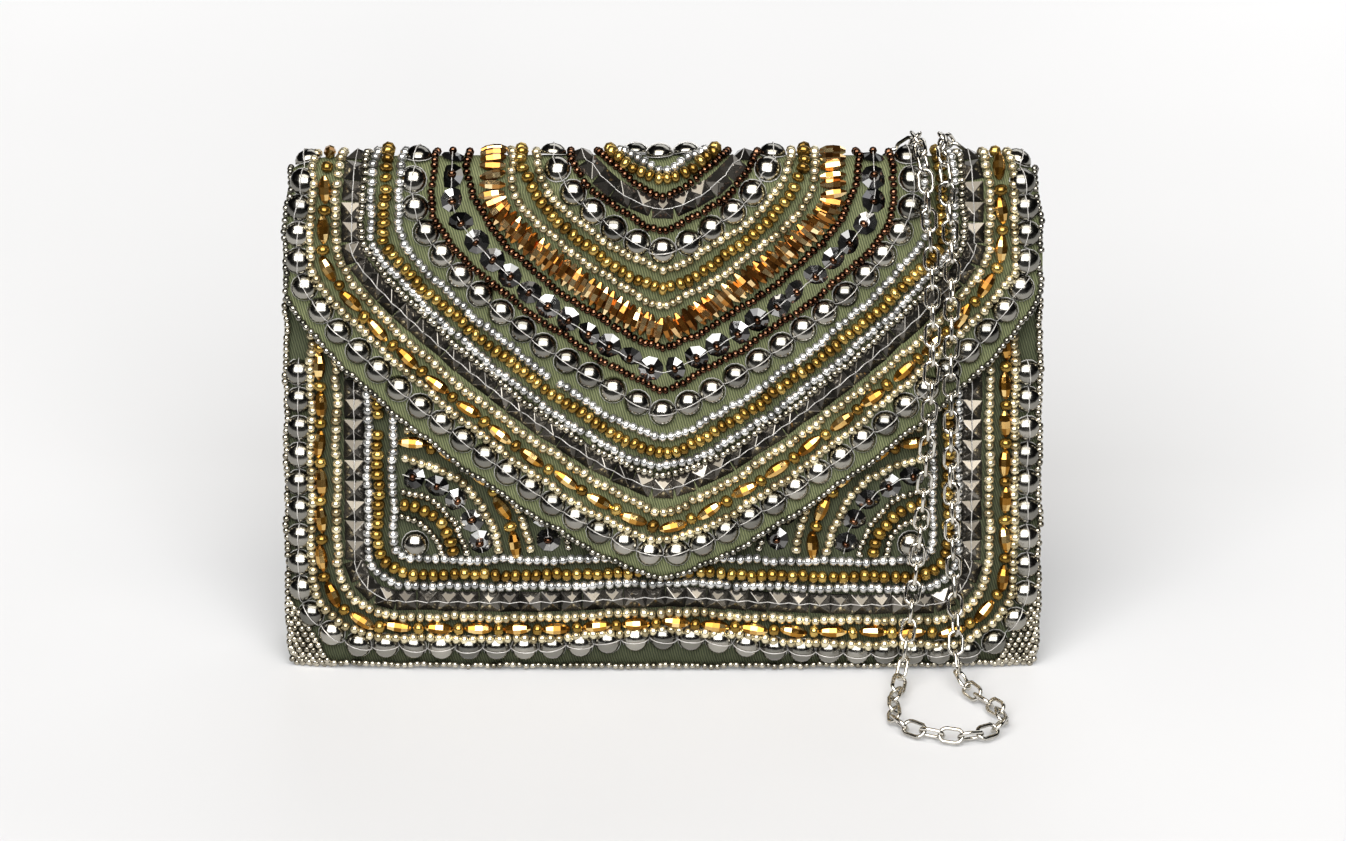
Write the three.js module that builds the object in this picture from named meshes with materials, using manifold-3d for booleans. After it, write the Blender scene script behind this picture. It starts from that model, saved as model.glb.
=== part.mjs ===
// Beaded envelope clutch bag, standing on its flat base with the flap closed. Its chain strap is
// drawn over the fold to the front, where a short loop of it lies on the surface.
// Millimetres. +X is to the right seen from the front, -Y is the front and +Z is up.
// The origin is the middle of the flat base.

import * as THREE from "three";
import { mergeVertices } from "three/addons/utils/BufferGeometryUtils.js";
import Module from "manifold-3d";

const wasm = await Module();
wasm.setup();

// Body of the bag
const HALF_WIDTH = 129.5; // middle to side seam, at the base
const TOP_TAPER = 0.014; // share of the width that is lost towards the fold
const BASE_DEPTH = 40; // front to back where the pouch is fullest
const TOP_DEPTH = 11; // front to back where the flap starts to turn over
const FULLEST_Z = 14; // the panels turn under below this height
const FOLD_Z = 169; // the flap turns over above this height
const MOUTH_Z = 158; // free edge of the front panel, under the flap
const LEAN = 18; // how far the middle of the bag leans back at the fold
const FOOT_SHARE = 0.72; // depth of the base over the fullest depth
const SIDE_SHARE = 0.74; // depth at the side seams over the depth in the middle
const CROWN_SHARE = 0.12; // part of the depth that is lost evenly from the middle to the sides
const CORNER_RADIUS = 6; // lower corners of the panels
const SHOULDER = { drop: 5, pull: 2.5, width: 17, low: 158, high: 175 }; // soft upper corners
const CLOTH = 2.2; // thickness of the cloth
const BEAD_ROOM = 3.8; // space for the beads between the front panel and the flap
const CLEAR = 0.3; // gap between neighbouring pieces
const GUSSET_TUCK = 9; // how deep the sides are folded in near the mouth
const LIFT = BEAD_ROOM + CLOTH; // outside of the flap in front of the outside of the front panel

// Rows on the flap, measured down the flap from a line along the top of the fold
const ROW_TOP_Z = 183.2;
const FLAP_EDGE = { halfWidth: 128.9, bend: 47.3, shoulder: 21.3, point: 23.9, tip: 146.6, lean: 0 };
const FLAP_BORDER = { halfWidth: 124.2, bend: 41.7, shoulder: 19.2, point: 22.7, tip: 138.5, lean: 2.4 };
const FLAP_MIDDLE = { halfWidth: 85.1, bend: 15.5, shoulder: 27, point: 9.5, tip: 89.4, lean: 1.5 };
const LEAN_END = 24; // the upper ends of the rows lean in above this drop
const FLAP_ROW_START = 1.5; // the rows of domes start this far below the line, on the fold
const FLAP_DOME_PITCH = 9.4;

// Row of domes round the front panel
const FRONT_DOME_ROW = { halfWidth: 124.6, height: 10.2, radius: 20, top: 104, count: 45 };
const BUMP = { height: 4, middle: 3, width: 32, fade: 60, drift: 0.012 }; // wave of the lower rows
const CORNER_DOME = { x: 84.9, height: 45.3 };

// Domed beads
const DOME_RADIUS = 4.4;
const DOME_HEIGHT = 3.4;
const DOME_SIDES = 10;
const THREAD_RADIUS = 0.5;
const THREAD_RAISE = 2.2; // height of the thread over the cloth, so that it clears the fold

// Closure and strap
const SNAP = { radius: 7, height: 50, sides: 16 };
const CHAIN_RADIUS = 3;
const CHAIN_SIDES = 8;
const CHAIN_STEPS = 62;
const CHAIN_STAND_OFF = CLEAR + DOME_HEIGHT + 2 * CLEAR + CHAIN_RADIUS;
const RING = { x: 118, height: 160, radius: 4.5, wire: 0.8 };

// Grid of the cloth pieces
const COLUMNS = 14;
const TURN_STEPS = 3; // where the panels turn under
const WALL_STEPS = 4; // up a panel
const FOLD_STEPS = 6; // over the fold
const FLAP_STEPS = 5; // down the flap
const BASE_STEPS = 8;

const clothLook = new THREE.MeshStandardMaterial({ color: 0x757c58, roughness: 0.9, metalness: 0 });
const domeLook = new THREE.MeshStandardMaterial({ color: 0x9a9894, roughness: 0.15, metalness: 1 });
const chainLook = new THREE.MeshStandardMaterial({ color: 0xc2bfb6, roughness: 0.25, metalness: 1 });

// Shape of the bag. Every surface is given by x and a height.

function middleY(z) {
  return (LEAN * z) / FOLD_Z;
}

function taper(z) {
  return 1 - TOP_TAPER * (z / FOLD_Z) ** 2;
}

function halfWidth(z) {
  const drop = Math.max(CORNER_RADIUS - z, 0);
  const inset = CORNER_RADIUS - Math.sqrt(CORNER_RADIUS ** 2 - drop ** 2);
  return HALF_WIDTH * taper(z) - inset;
}

function halfDepth(x, z) {
  const u = Math.min(Math.abs(x) / HALF_WIDTH, 1);
  const edge = 1 - SIDE_SHARE - CROWN_SHARE;
  const across = SIDE_SHARE + CROWN_SHARE * (1 - u ** 2) + edge * (1 - u ** 10);
  const up = Math.max((z - FULLEST_Z) / (FOLD_Z - FULLEST_Z), 0);
  return 0.5 * (BASE_DEPTH + (TOP_DEPTH - BASE_DEPTH) * up) * across;
}

// The upper corners are soft: towards the side seams the cloth sinks and draws in a little.
function sunk(point) {
  const side = Math.max(1 - (HALF_WIDTH - Math.abs(point.x)) / SHOULDER.width, 0) ** 2;
  const share = side * THREE.MathUtils.smoothstep(point.z, SHOULDER.low, SHOULDER.high);
  point.x -= Math.sign(point.x) * SHOULDER.pull * share;
  point.z -= SHOULDER.drop * share;
  return point;
}

// A wall of the pouch at one height: side is -1 for the front and +1 for the back, and out is the
// distance outside the wall's outer face. Below FULLEST_Z the wall turns under on a quarter ellipse.
function wallPoint(side, x, height, out) {
  if (height >= FULLEST_Z) {
    const y = middleY(height) + side * (halfDepth(x, height) + out);
    return sunk(new THREE.Vector3(x * taper(height), y, height));
  }
  const turn = ((FULLEST_Z - height) / FULLEST_Z) * (Math.PI / 2);
  const full = halfDepth(x, FULLEST_Z);
  const half = FOOT_SHARE * full + ((1 - FOOT_SHARE) * full + out) * Math.cos(turn);
  const z = FULLEST_Z - (FULLEST_Z + out) * Math.sin(turn);
  return new THREE.Vector3(x, middleY(z) + side * half, z);
}

// The flap and the fold at one height. Above FOLD_Z the height is measured round the fold, from the
// front over the top to the back.
function flapPoint(x, height, out) {
  if (height <= FOLD_Z) {
    return wallPoint(-1, x, height, LIFT + out);
  }
  const radius = halfDepth(x, FOLD_Z) + LIFT / 2;
  const turn = (height - FOLD_Z) / radius;
  const z = FOLD_Z + radius * Math.sin(turn);
  const front = wallPoint(-1, x, z, LIFT).y;
  const back = wallPoint(1, x, z, 0).y;
  const y = (front + back) / 2 - ((back - front) / 2 + out) * Math.cos(turn);
  return sunk(new THREE.Vector3(x * taper(FOLD_Z), y, FOLD_Z + (radius + out) * Math.sin(turn)));
}

function foldLength(x) {
  return Math.PI * (halfDepth(x, FOLD_Z) + LIFT / 2);
}

// Place, and direction straight out of the surface, at x and a height.
function seat(surface, x, height) {
  const point = surface(x, height, 0);
  const across = surface(x + 0.5, height, 0).sub(surface(x - 0.5, height, 0));
  const up = surface(x, height + 0.5, 0).sub(surface(x, height - 0.5, 0));
  const normal = across.cross(up).normalize();
  const outward = surface(x, height, 1).sub(point);
  return { point, normal: normal.multiplyScalar(Math.sign(normal.dot(outward))) };
}

function standOff(surface, x, height, distance) {
  const { point, normal } = seat(surface, x, height);
  return point.addScaledVector(normal, distance);
}

// Outline of a flap row as a path of x and drop: an upright that leans in at the top, one long bow by the
// shoulder to the tip, and back up.
function flapRowPath({ halfWidth: wide, bend, shoulder, point, tip, lean }, top) {
  const upright = Math.min(LEAN_END, bend);
  const path = new THREE.Path();
  path.moveTo(-wide + lean, top);
  path.quadraticCurveTo(-wide, (top + upright) / 2, -wide, upright);
  path.lineTo(-wide, bend);
  path.bezierCurveTo(-wide, bend + shoulder, -point, tip, 0, tip);
  path.bezierCurveTo(point, tip, wide, bend + shoulder, wide, bend);
  path.lineTo(wide, upright);
  path.quadraticCurveTo(wide, (top + upright) / 2, wide - lean, top);
  return path;
}

// Height of the flap's free edge at x, read off the outline by halving.
const edgePath = flapRowPath(FLAP_EDGE, 0);

function flapEdgeHeight(x) {
  const wanted = Math.min(Math.abs(x), FLAP_EDGE.halfWidth - 0.02);
  let low = 0.5;
  let high = 1;
  for (let i = 0; i < 30; i += 1) {
    const middle = (low + high) / 2;
    if (edgePath.getPointAt(middle).x < wanted) {
      low = middle;
    } else {
      high = middle;
    }
  }
  return ROW_TOP_Z - edgePath.getPointAt(low).y;
}

function bump(x, height) {
  const wave = BUMP.height * Math.exp(-(((x - BUMP.middle) / BUMP.width) ** 2)) - BUMP.drift * x;
  return wave * Math.max(0, 1 - height / BUMP.fade);
}

// Closed cloth from a grid of points: each has a place on the outside and one on the inside.
function clothGeometry(grid) {
  const rows = grid.length;
  const columns = grid[0].length;
  const positions = [];
  const index = [];
  for (const row of grid) {
    for (const { outside, inside } of row) {
      positions.push(outside.x, outside.y, outside.z, inside.x, inside.y, inside.z);
    }
  }
  const outer = (r, c) => 2 * (r * columns + c);
  const inner = (r, c) => outer(r, c) + 1;
  const quad = (a, b, c, d) => index.push(a, b, c, a, c, d);
  for (let r = 0; r + 1 < rows; r += 1) {
    for (let c = 0; c + 1 < columns; c += 1) {
      quad(outer(r, c), outer(r, c + 1), outer(r + 1, c + 1), outer(r + 1, c));
      quad(inner(r, c), inner(r + 1, c), inner(r + 1, c + 1), inner(r, c + 1));
    }
    quad(outer(r, 0), outer(r + 1, 0), inner(r + 1, 0), inner(r, 0));
    const last = columns - 1;
    quad(outer(r, last), inner(r, last), inner(r + 1, last), outer(r + 1, last));
  }
  for (let c = 0; c + 1 < columns; c += 1) {
    quad(outer(0, c), inner(0, c), inner(0, c + 1), outer(0, c + 1));
    const last = rows - 1;
    quad(outer(last, c), outer(last, c + 1), inner(last, c + 1), inner(last, c));
  }
  const geometry = new THREE.BufferGeometry();
  geometry.setAttribute("position", new THREE.Float32BufferAttribute(positions, 3));
  geometry.setIndex(index);
  geometry.computeVertexNormals();
  return geometry;
}

// Shares of the half width, closer together towards the side seams.
function columnShares() {
  const shares = [];
  for (let c = 0; c <= COLUMNS; c += 1) {
    shares.push(Math.sin((Math.PI / 2) * ((2 * c) / COLUMNS - 1)));
  }
  return shares;
}

function spaced(from, to, steps) {
  return Array.from({ length: steps + 1 }, (_, i) => from + ((to - from) * i) / steps);
}

// Outside and inside of a wall of the pouch. The heights of both faces turn under together.
function wallPair(side, share, height) {
  const z = wallPoint(side, 0, height, 0).z;
  const x = (share * halfWidth(z)) / taper(z);
  return { outside: wallPoint(side, x, height, 0), inside: wallPoint(side, x, height, -CLOTH) };
}

function frontPanel() {
  const turn = spaced(0, FULLEST_Z, TURN_STEPS);
  const wall = spaced(FULLEST_Z, MOUTH_Z, WALL_STEPS).slice(1);
  const grid = [...turn, ...wall].map((height) => columnShares().map((share) => wallPair(-1, share, height)));
  return clothGeometry(grid);
}

// The back goes up, over the fold and down the front to the flap's free edge.
function backAndFlap() {
  const turn = spaced(0, FULLEST_Z, TURN_STEPS);
  const wall = spaced(FULLEST_Z, FOLD_Z, WALL_STEPS).slice(1, -1);
  const grid = [...turn, ...wall].map((height) => columnShares().map((share) => wallPair(1, share, height)));
  const flapPair = (x, height) => ({ outside: flapPoint(x, height, 0), inside: flapPoint(x, height, -CLOTH) });
  for (const share of spaced(1, 0, FOLD_STEPS)) {
    grid.push(columnShares().map((u) => flapPair(u * HALF_WIDTH, FOLD_Z + share * foldLength(u * HALF_WIDTH))));
  }
  for (const share of spaced(0, 1, FLAP_STEPS).slice(1)) {
    const heightAt = (x) => FOLD_Z + (flapEdgeHeight(x) - FOLD_Z) * share;
    grid.push(columnShares().map((u) => flapPair(u * HALF_WIDTH, heightAt(u * HALF_WIDTH))));
  }
  grid.forEach((row) => row.reverse());
  return clothGeometry(grid);
}

// Stations of the gusset, from the left mouth down, along the base and up to the right mouth. Each has
// a place on the outline of the panels and the direction into the bag.
function gussetStations() {
  const stations = [];
  const top = MOUTH_Z - CLEAR;
  for (const z of spaced(top, CORNER_RADIUS, WALL_STEPS + 2)) {
    stations.push({ x: halfWidth(z), z, inX: -1, inZ: 0 });
  }
  const centre = halfWidth(CORNER_RADIUS) - CORNER_RADIUS;
  for (const angle of spaced(0, Math.PI / 2, TURN_STEPS).slice(1)) {
    const x = centre + CORNER_RADIUS * Math.cos(angle);
    const z = CORNER_RADIUS * (1 - Math.sin(angle));
    stations.push({ x, z, inX: -Math.cos(angle), inZ: Math.sin(angle) });
  }
  const left = stations.map(({ x, z, inX, inZ }) => ({ x: -x, z, inX: -inX, inZ }));
  const base = spaced(-centre, centre, BASE_STEPS).slice(1, -1).map((x) => ({ x, z: 0, inX: 0, inZ: 1 }));
  return [...left, ...base, ...stations.reverse()];
}

function gussetHalf(x, z) {
  const full = halfDepth(x, FULLEST_Z);
  if (z >= FULLEST_Z) {
    return halfDepth(x, z) - CLOTH - CLEAR;
  }
  const fall = Math.min((FULLEST_Z - z) / (FULLEST_Z - CLOTH), 1);
  const turn = (1 - FOOT_SHARE) * full - CLOTH;
  return FOOT_SHARE * full + turn * Math.sqrt(1 - fall ** 2) - CLEAR;
}

function gusset() {
  const wall = CLOTH - CLEAR;
  const grid = gussetStations().map(({ x, z, inX, inZ }) => {
    const tuck = GUSSET_TUCK * THREE.MathUtils.smoothstep(z, 20, 110);
    return [-1, -0.5, 0, 0.5, 1].map((share) => {
      const y = middleY(z) + share * gussetHalf(x, z);
      const deep = tuck * (1 - Math.abs(share));
      const outside = new THREE.Vector3(x + inX * deep, y, z + inZ * deep);
      const inside = new THREE.Vector3(x + inX * (deep + wall), y, z + inZ * (deep + wall));
      return { outside, inside };
    });
  });
  return clothGeometry(grid);
}

// Joining of beads and thread into one closed body

function toSolid(geometry) {
  const bare = geometry.clone();
  bare.deleteAttribute("normal");
  bare.deleteAttribute("uv");
  const merged = mergeVertices(bare, 1e-4);
  const triVerts = [];
  const source = merged.index.array;
  for (let i = 0; i < source.length; i += 3) {
    const [a, b, c] = [source[i], source[i + 1], source[i + 2]];
    if (a !== b && b !== c && c !== a) {
      triVerts.push(a, b, c);
    }
  }
  const vertProperties = new Float32Array(merged.attributes.position.array);
  return new wasm.Manifold(new wasm.Mesh({ numProp: 3, vertProperties, triVerts: new Uint32Array(triVerts) }));
}

function fromSolid(solid) {
  const mesh = solid.getMesh();
  const geometry = new THREE.BufferGeometry();
  geometry.setAttribute("position", new THREE.Float32BufferAttribute(mesh.vertProperties, 3));
  geometry.setIndex(Array.from(mesh.triVerts));
  geometry.computeVertexNormals();
  return geometry;
}

function domeGeometry() {
  const profile = [
    new THREE.Vector2(0, 0),
    new THREE.Vector2(DOME_RADIUS, 0),
    new THREE.Vector2(0.72 * DOME_RADIUS, 0.76 * DOME_HEIGHT),
    new THREE.Vector2(0, DOME_HEIGHT),
  ];
  return new THREE.LatheGeometry(profile, DOME_SIDES);
}

// A dome on its seat, with a flat side facing along the row.
function domeAt({ point, normal }, along) {
  const side = along.clone().addScaledVector(normal, -along.dot(normal)).normalize();
  const base = point.clone().addScaledVector(normal, CLEAR);
  const basis = new THREE.Matrix4().makeBasis(side, normal, side.clone().cross(normal));
  return domeGeometry().applyMatrix4(basis.setPosition(base));
}

function threadBetween(from, to) {
  const start = from.point.clone().addScaledVector(from.normal, THREAD_RAISE);
  const end = to.point.clone().addScaledVector(to.normal, THREAD_RAISE);
  const along = end.clone().sub(start);
  const geometry = new THREE.CylinderGeometry(THREAD_RADIUS, THREAD_RADIUS, along.length(), 3);
  const turn = new THREE.Quaternion().setFromUnitVectors(new THREE.Vector3(0, 1, 0), along.normalize());
  geometry.applyQuaternion(turn);
  const middle = start.add(end).multiplyScalar(0.5);
  return geometry.translate(middle.x, middle.y, middle.z);
}

function stringOfDomes(seats) {
  const last = seats.length - 1;
  const along = seats.map((_, i) => {
    const after = seats[Math.min(i + 1, last)].point;
    return after.clone().sub(seats[Math.max(i - 1, 0)].point);
  });
  let body = toSolid(domeAt(seats[0], along[0]));
  for (let i = 1; i <= last; i += 1) {
    body = body.add(toSolid(domeAt(seats[i], along[i])));
    body = body.add(toSolid(threadBetween(seats[i - 1], seats[i])));
  }
  return fromSolid(body);
}

function flapDomeSeats(row) {
  const path = flapRowPath(row, FLAP_ROW_START);
  const spaces = Math.round(path.getLength() / FLAP_DOME_PITCH);
  return path.getSpacedPoints(spaces).map(({ x, y }) => seat(flapPoint, x, ROW_TOP_Z - y));
}

function frontDomeSeats({ halfWidth: wide, height, radius, top, count }) {
  const path = new THREE.Path();
  path.moveTo(-wide, top);
  path.lineTo(-wide, height + radius);
  path.absarc(-wide + radius, height + radius, radius, Math.PI, 1.5 * Math.PI, false);
  path.absarc(wide - radius, height + radius, radius, 1.5 * Math.PI, 2 * Math.PI, false);
  path.lineTo(wide, top);
  const front = (x, z, out) => wallPoint(-1, x, z, out);
  return path.getSpacedPoints(count - 1).map(({ x, y }) => seat(front, x, y + bump(x, y)));
}

// Chain strap. Each stretch is a short list of places that the strap passes.
const STRAND_LEFT = [
  { x: 88.6, height: 174 },
  { x: 91, height: 150 },
  { x: 91.3, height: 120 },
  { x: 90.5, height: 98 },
];
const STRAND_RIGHT = [
  { x: 95.6, height: 174 },
  { x: 97.8, height: 150 },
  { x: 97.8, height: 125 },
  { x: 97.6, height: 103 },
];
const LOWER_LEFT = [
  { x: 88, height: 55 },
  { x: 85, height: 28 },
];
const LOWER_RIGHT = [
  { x: 98.4, height: 55 },
  { x: 99.6, height: 28 },
];
const FLOOR_LOOP = [
  { x: 81.5, y: -33, raise: 3 },
  { x: 78.5, y: -48 },
  { x: 79.5, y: -62 },
  { x: 88, y: -69 },
  { x: 103, y: -72 },
  { x: 113, y: -65 },
  { x: 114, y: -54 },
  { x: 107, y: -43 },
  { x: 101.5, y: -33, raise: 3 },
];
const BACK_LEFT = [
  { x: 60, height: 160 },
  { x: 10, height: 141 },
  { x: -45, height: 136 },
  { x: -92, height: 146 },
];
const BACK_OUT = CHAIN_RADIUS + CLEAR;

function chainCurve() {
  const floor = CHAIN_RADIUS + CLEAR;
  const back = (x, z, out) => wallPoint(1, x, z, out);
  const front = (x, z, out) => wallPoint(-1, x, z, out);
  const onFlap = ({ x, height }) => standOff(flapPoint, x, height, CHAIN_STAND_OFF);
  const onFront = ({ x, height }) => standOff(front, x, height, CHAIN_STAND_OFF);
  const overFold = (x, share) => standOff(flapPoint, x, FOLD_Z + share * foldLength(x), CHAIN_STAND_OFF);
  const onBack = ({ x, height }) => standOff(back, x, height, BACK_OUT);
  const reach = RING.radius + RING.wire + CLEAR;
  const slant = 0.8;
  const leftEnd = { x: -RING.x + slant * reach, height: RING.height - 0.6 * reach };
  const rightEnd = { x: RING.x - slant * reach, height: RING.height + 0.6 * reach };
  const places = [
    onBack(leftEnd),
    ...BACK_LEFT.reverse().map(onBack),
    overFold(85, 0.78),
    overFold(86.4, 0.56),
    overFold(87.6, 0.36),
    ...STRAND_LEFT.map(onFlap),
    ...LOWER_LEFT.map(onFront),
    ...FLOOR_LOOP.map(({ x, y, raise = 0 }) => new THREE.Vector3(x, y, floor + raise)),
    ...LOWER_RIGHT.reverse().map(onFront),
    ...STRAND_RIGHT.reverse().map(onFlap),
    overFold(95, 0.36),
    overFold(96, 0.56),
    overFold(98, 0.78),
    onBack(rightEnd),
  ];
  return new THREE.CatmullRomCurve3(places, false, "centripetal");
}

function chainTube() {
  const section = new THREE.Shape();
  for (let i = 0; i < CHAIN_SIDES; i += 1) {
    const angle = (2 * Math.PI * i) / CHAIN_SIDES;
    const corner = [CHAIN_RADIUS * Math.cos(angle), CHAIN_RADIUS * Math.sin(angle)];
    if (i === 0) {
      section.moveTo(...corner);
    } else {
      section.lineTo(...corner);
    }
  }
  return new THREE.ExtrudeGeometry(section, { steps: CHAIN_STEPS, bevelEnabled: false, extrudePath: chainCurve() });
}

function addPiece(group, name, geometry, look) {
  const mesh = new THREE.Mesh(geometry, look);
  mesh.name = name;
  group.add(mesh);
  return mesh;
}

const clutch = new THREE.Group();
const pouch = new THREE.Group();
addPiece(pouch, "front_panel", frontPanel(), clothLook);
addPiece(pouch, "gusset", gusset(), clothLook);
addPiece(pouch, "back_and_flap", backAndFlap(), clothLook);
clutch.add(pouch);

const snapSeat = seat((x, z, out) => wallPoint(-1, x, z, out), 0, SNAP.height);
const snapThickness = BEAD_ROOM * -snapSeat.normal.y - 2 * CLEAR;
const snapShape = new THREE.CylinderGeometry(SNAP.radius, SNAP.radius, snapThickness, SNAP.sides);
const snap = addPiece(clutch, "snap", snapShape, chainLook);
snap.quaternion.setFromUnitVectors(new THREE.Vector3(0, 1, 0), snapSeat.normal);
snap.position.copy(snapSeat.point).addScaledVector(snapSeat.normal, CLEAR + snapThickness / 2);

const beading = new THREE.Group();
addPiece(beading, "flap_border_domes", stringOfDomes(flapDomeSeats(FLAP_BORDER)), domeLook);
addPiece(beading, "flap_middle_domes", stringOfDomes(flapDomeSeats(FLAP_MIDDLE)), domeLook);
addPiece(beading, "front_border_domes", stringOfDomes(frontDomeSeats(FRONT_DOME_ROW)), domeLook);
for (const [name, side] of [["corner_dome_left", -1], ["corner_dome_right", 1]]) {
  const place = seat((x, z, out) => wallPoint(-1, x, z, out), side * CORNER_DOME.x, CORNER_DOME.height);
  addPiece(beading, name, fromSolid(toSolid(domeAt(place, new THREE.Vector3(1, 0, 0)))), domeLook);
}
clutch.add(beading);

const strap = new THREE.Group();
addPiece(strap, "chain", chainTube(), chainLook);
for (const [name, side] of [["strap_ring_left", -1], ["strap_ring_right", 1]]) {
  const { point, normal } = seat((x, z, out) => wallPoint(1, x, z, out), side * RING.x, RING.height);
  const ring = addPiece(strap, name, new THREE.TorusGeometry(RING.radius, RING.wire, 5, 12), chainLook);
  ring.quaternion.setFromUnitVectors(new THREE.Vector3(0, 0, 1), normal);
  ring.position.copy(point).addScaledVector(normal, CLEAR + RING.wire);
}
clutch.add(strap);

export default clutch;
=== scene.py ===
# %% [markdown]
# # A beaded envelope clutch
# This is a flat evening bag of olive twill. Its pointed flap and its front are sewn all over with strings
# of beads, mirrored domes and cut stones, and a chain strap is drawn over the fold to the front.
# The model that is loaded first is a fixed frame: it has the pouch as thick cloth, the main rows of domes
# and the path of the chain. The lesson covers each of them with a piece that has the real detail.

# %% Load the frame
import math
from collections import namedtuple

import bmesh
import bpy
import numpy as np
from mathutils import Matrix, Vector


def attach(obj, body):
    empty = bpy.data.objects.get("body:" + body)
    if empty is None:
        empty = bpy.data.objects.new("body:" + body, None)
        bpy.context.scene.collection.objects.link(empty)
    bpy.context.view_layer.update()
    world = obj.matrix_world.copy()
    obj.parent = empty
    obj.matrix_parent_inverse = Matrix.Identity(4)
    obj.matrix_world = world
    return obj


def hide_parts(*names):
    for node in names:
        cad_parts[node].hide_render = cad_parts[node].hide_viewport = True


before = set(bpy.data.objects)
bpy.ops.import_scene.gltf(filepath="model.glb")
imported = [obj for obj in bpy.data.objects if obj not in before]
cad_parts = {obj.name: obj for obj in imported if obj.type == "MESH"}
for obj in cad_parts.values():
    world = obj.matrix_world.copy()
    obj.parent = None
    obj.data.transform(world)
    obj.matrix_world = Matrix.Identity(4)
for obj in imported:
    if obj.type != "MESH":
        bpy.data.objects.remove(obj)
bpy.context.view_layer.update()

MM = 0.001
rng = np.random.default_rng(7)


def placed(name, data):
    """A new object in the scene."""
    thing = bpy.data.objects.new(name, data)
    bpy.context.collection.objects.link(thing)
    return thing


print("frame nodes:", sorted(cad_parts))

# %% [markdown]
# ## The camera
# The bag was photographed from straight in front and a little above, from far away with a long lens,
# because its upright edges hardly lean. A long lens at two metres gives the same flat look. The focal
# length follows from the size of one pixel on the bag, for a sensor 36 mm wide.

# %% Camera
IMAGE_WIDTH = 1346
PIXEL_ON_BAG = 0.342
CAMERA_DISTANCE = 1900
CAMERA_RISE = math.radians(25)
SENSOR_WIDTH, CLIP_END = 36, 50
AIM = Vector((3.4, 3.0, 85.2))

camera_data = bpy.data.cameras.new("camera")
camera_data.sensor_width = SENSOR_WIDTH
camera_data.lens = CAMERA_DISTANCE / PIXEL_ON_BAG * SENSOR_WIDTH / IMAGE_WIDTH
camera_data.clip_end = CLIP_END
camera = placed("camera", camera_data)
towards_camera = Vector((0, -math.cos(CAMERA_RISE), math.sin(CAMERA_RISE)))
camera.location = (AIM + towards_camera * CAMERA_DISTANCE) * MM
camera.rotation_euler = (math.pi / 2 - CAMERA_RISE, 0, 0)
bpy.context.scene.camera = camera
print("lens", round(camera_data.lens, 1), "mm")

# %% [markdown]
# ## The shape of the pouch
# The pouch is a soft envelope: fullest just above its base, thin at the fold, and leaning back a little.
# It could be sculpted, but every bead has to sit on it, so it is written as a few formulas instead. Each
# surface takes x, a height and a distance out of the cloth, and gives a place in millimetres.

# %% Formulas of the pouch
HALF_WIDTH, TOP_TAPER = 129.5, 0.014
BASE_DEPTH, TOP_DEPTH = 40, 11
FULLEST_Z, FOLD_Z, MOUTH_Z = 14, 169, 158
LEAN, FOOT_SHARE = 18, 0.72
SIDE_SHARE, CROWN_SHARE = 0.74, 0.12
CORNER_RADIUS = 6
SHOULDER_DROP, SHOULDER_PULL, SHOULDER_WIDTH = 5, 2.5, 17
SHOULDER_LOW, SHOULDER_HIGH = 158, 175
CLOTH, LIFT, CLEAR = 2.2, 6.0, 0.3


def middle_y(z):
    return LEAN * z / FOLD_Z


def taper(z):
    return 1 - TOP_TAPER * (z / FOLD_Z) ** 2


def half_width(z):
    drop = max(CORNER_RADIUS - z, 0)
    return HALF_WIDTH * taper(z) - CORNER_RADIUS + math.sqrt(CORNER_RADIUS**2 - drop**2)


def half_depth(x, z):
    u = min(abs(x) / HALF_WIDTH, 1)
    across = SIDE_SHARE + CROWN_SHARE * (1 - u**2) + (1 - SIDE_SHARE - CROWN_SHARE) * (1 - u**10)
    up = max((z - FULLEST_Z) / (FOLD_Z - FULLEST_Z), 0)
    return 0.5 * (BASE_DEPTH + (TOP_DEPTH - BASE_DEPTH) * up) * across


def soft_step(value, low, high):
    """From 0 at low to 1 at high, with no corner at either end."""
    up = min(max((value - low) / (high - low), 0), 1)
    return up * up * (3 - 2 * up)


def sunk(point):
    """The upper corners are soft: towards the side seams the cloth sinks and draws in a little."""
    side = max(1 - (HALF_WIDTH - abs(point.x)) / SHOULDER_WIDTH, 0) ** 2
    share = side * soft_step(point.z, SHOULDER_LOW, SHOULDER_HIGH)
    point.x -= math.copysign(SHOULDER_PULL * share, point.x)
    point.z -= SHOULDER_DROP * share
    return point


def wall_point(side, x, height, out):
    """A place on the front (side -1) or the back (side +1). Near the base the wall turns under."""
    if height >= FULLEST_Z:
        y = middle_y(height) + side * (half_depth(x, height) + out)
        return sunk(Vector((x * taper(height), y, height)))
    turn = (FULLEST_Z - height) / FULLEST_Z * math.pi / 2
    full = half_depth(x, FULLEST_Z)
    half = FOOT_SHARE * full + ((1 - FOOT_SHARE) * full + out) * math.cos(turn)
    z = FULLEST_Z - (FULLEST_Z + out) * math.sin(turn)
    return Vector((x, middle_y(z) + side * half, z))


def front_point(x, height, out):
    return wall_point(-1, x, height, out)


def back_point(x, height, out):
    return wall_point(1, x, height, out)


def fold_length(x):
    return math.pi * (half_depth(x, FOLD_Z) + LIFT / 2)


def flap_point(x, height, out):
    """A place on the flap. Above FOLD_Z the height is measured round the fold, towards the back."""
    if height <= FOLD_Z:
        return wall_point(-1, x, height, LIFT + out)
    radius = half_depth(x, FOLD_Z) + LIFT / 2
    turn = (height - FOLD_Z) / radius
    z = FOLD_Z + radius * math.sin(turn)
    front, back = wall_point(-1, x, z, LIFT).y, wall_point(1, x, z, 0).y
    y = (front + back) / 2 - ((back - front) / 2 + out) * math.cos(turn)
    return sunk(Vector((x * taper(FOLD_Z), y, FOLD_Z + (radius + out) * math.sin(turn))))


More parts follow.
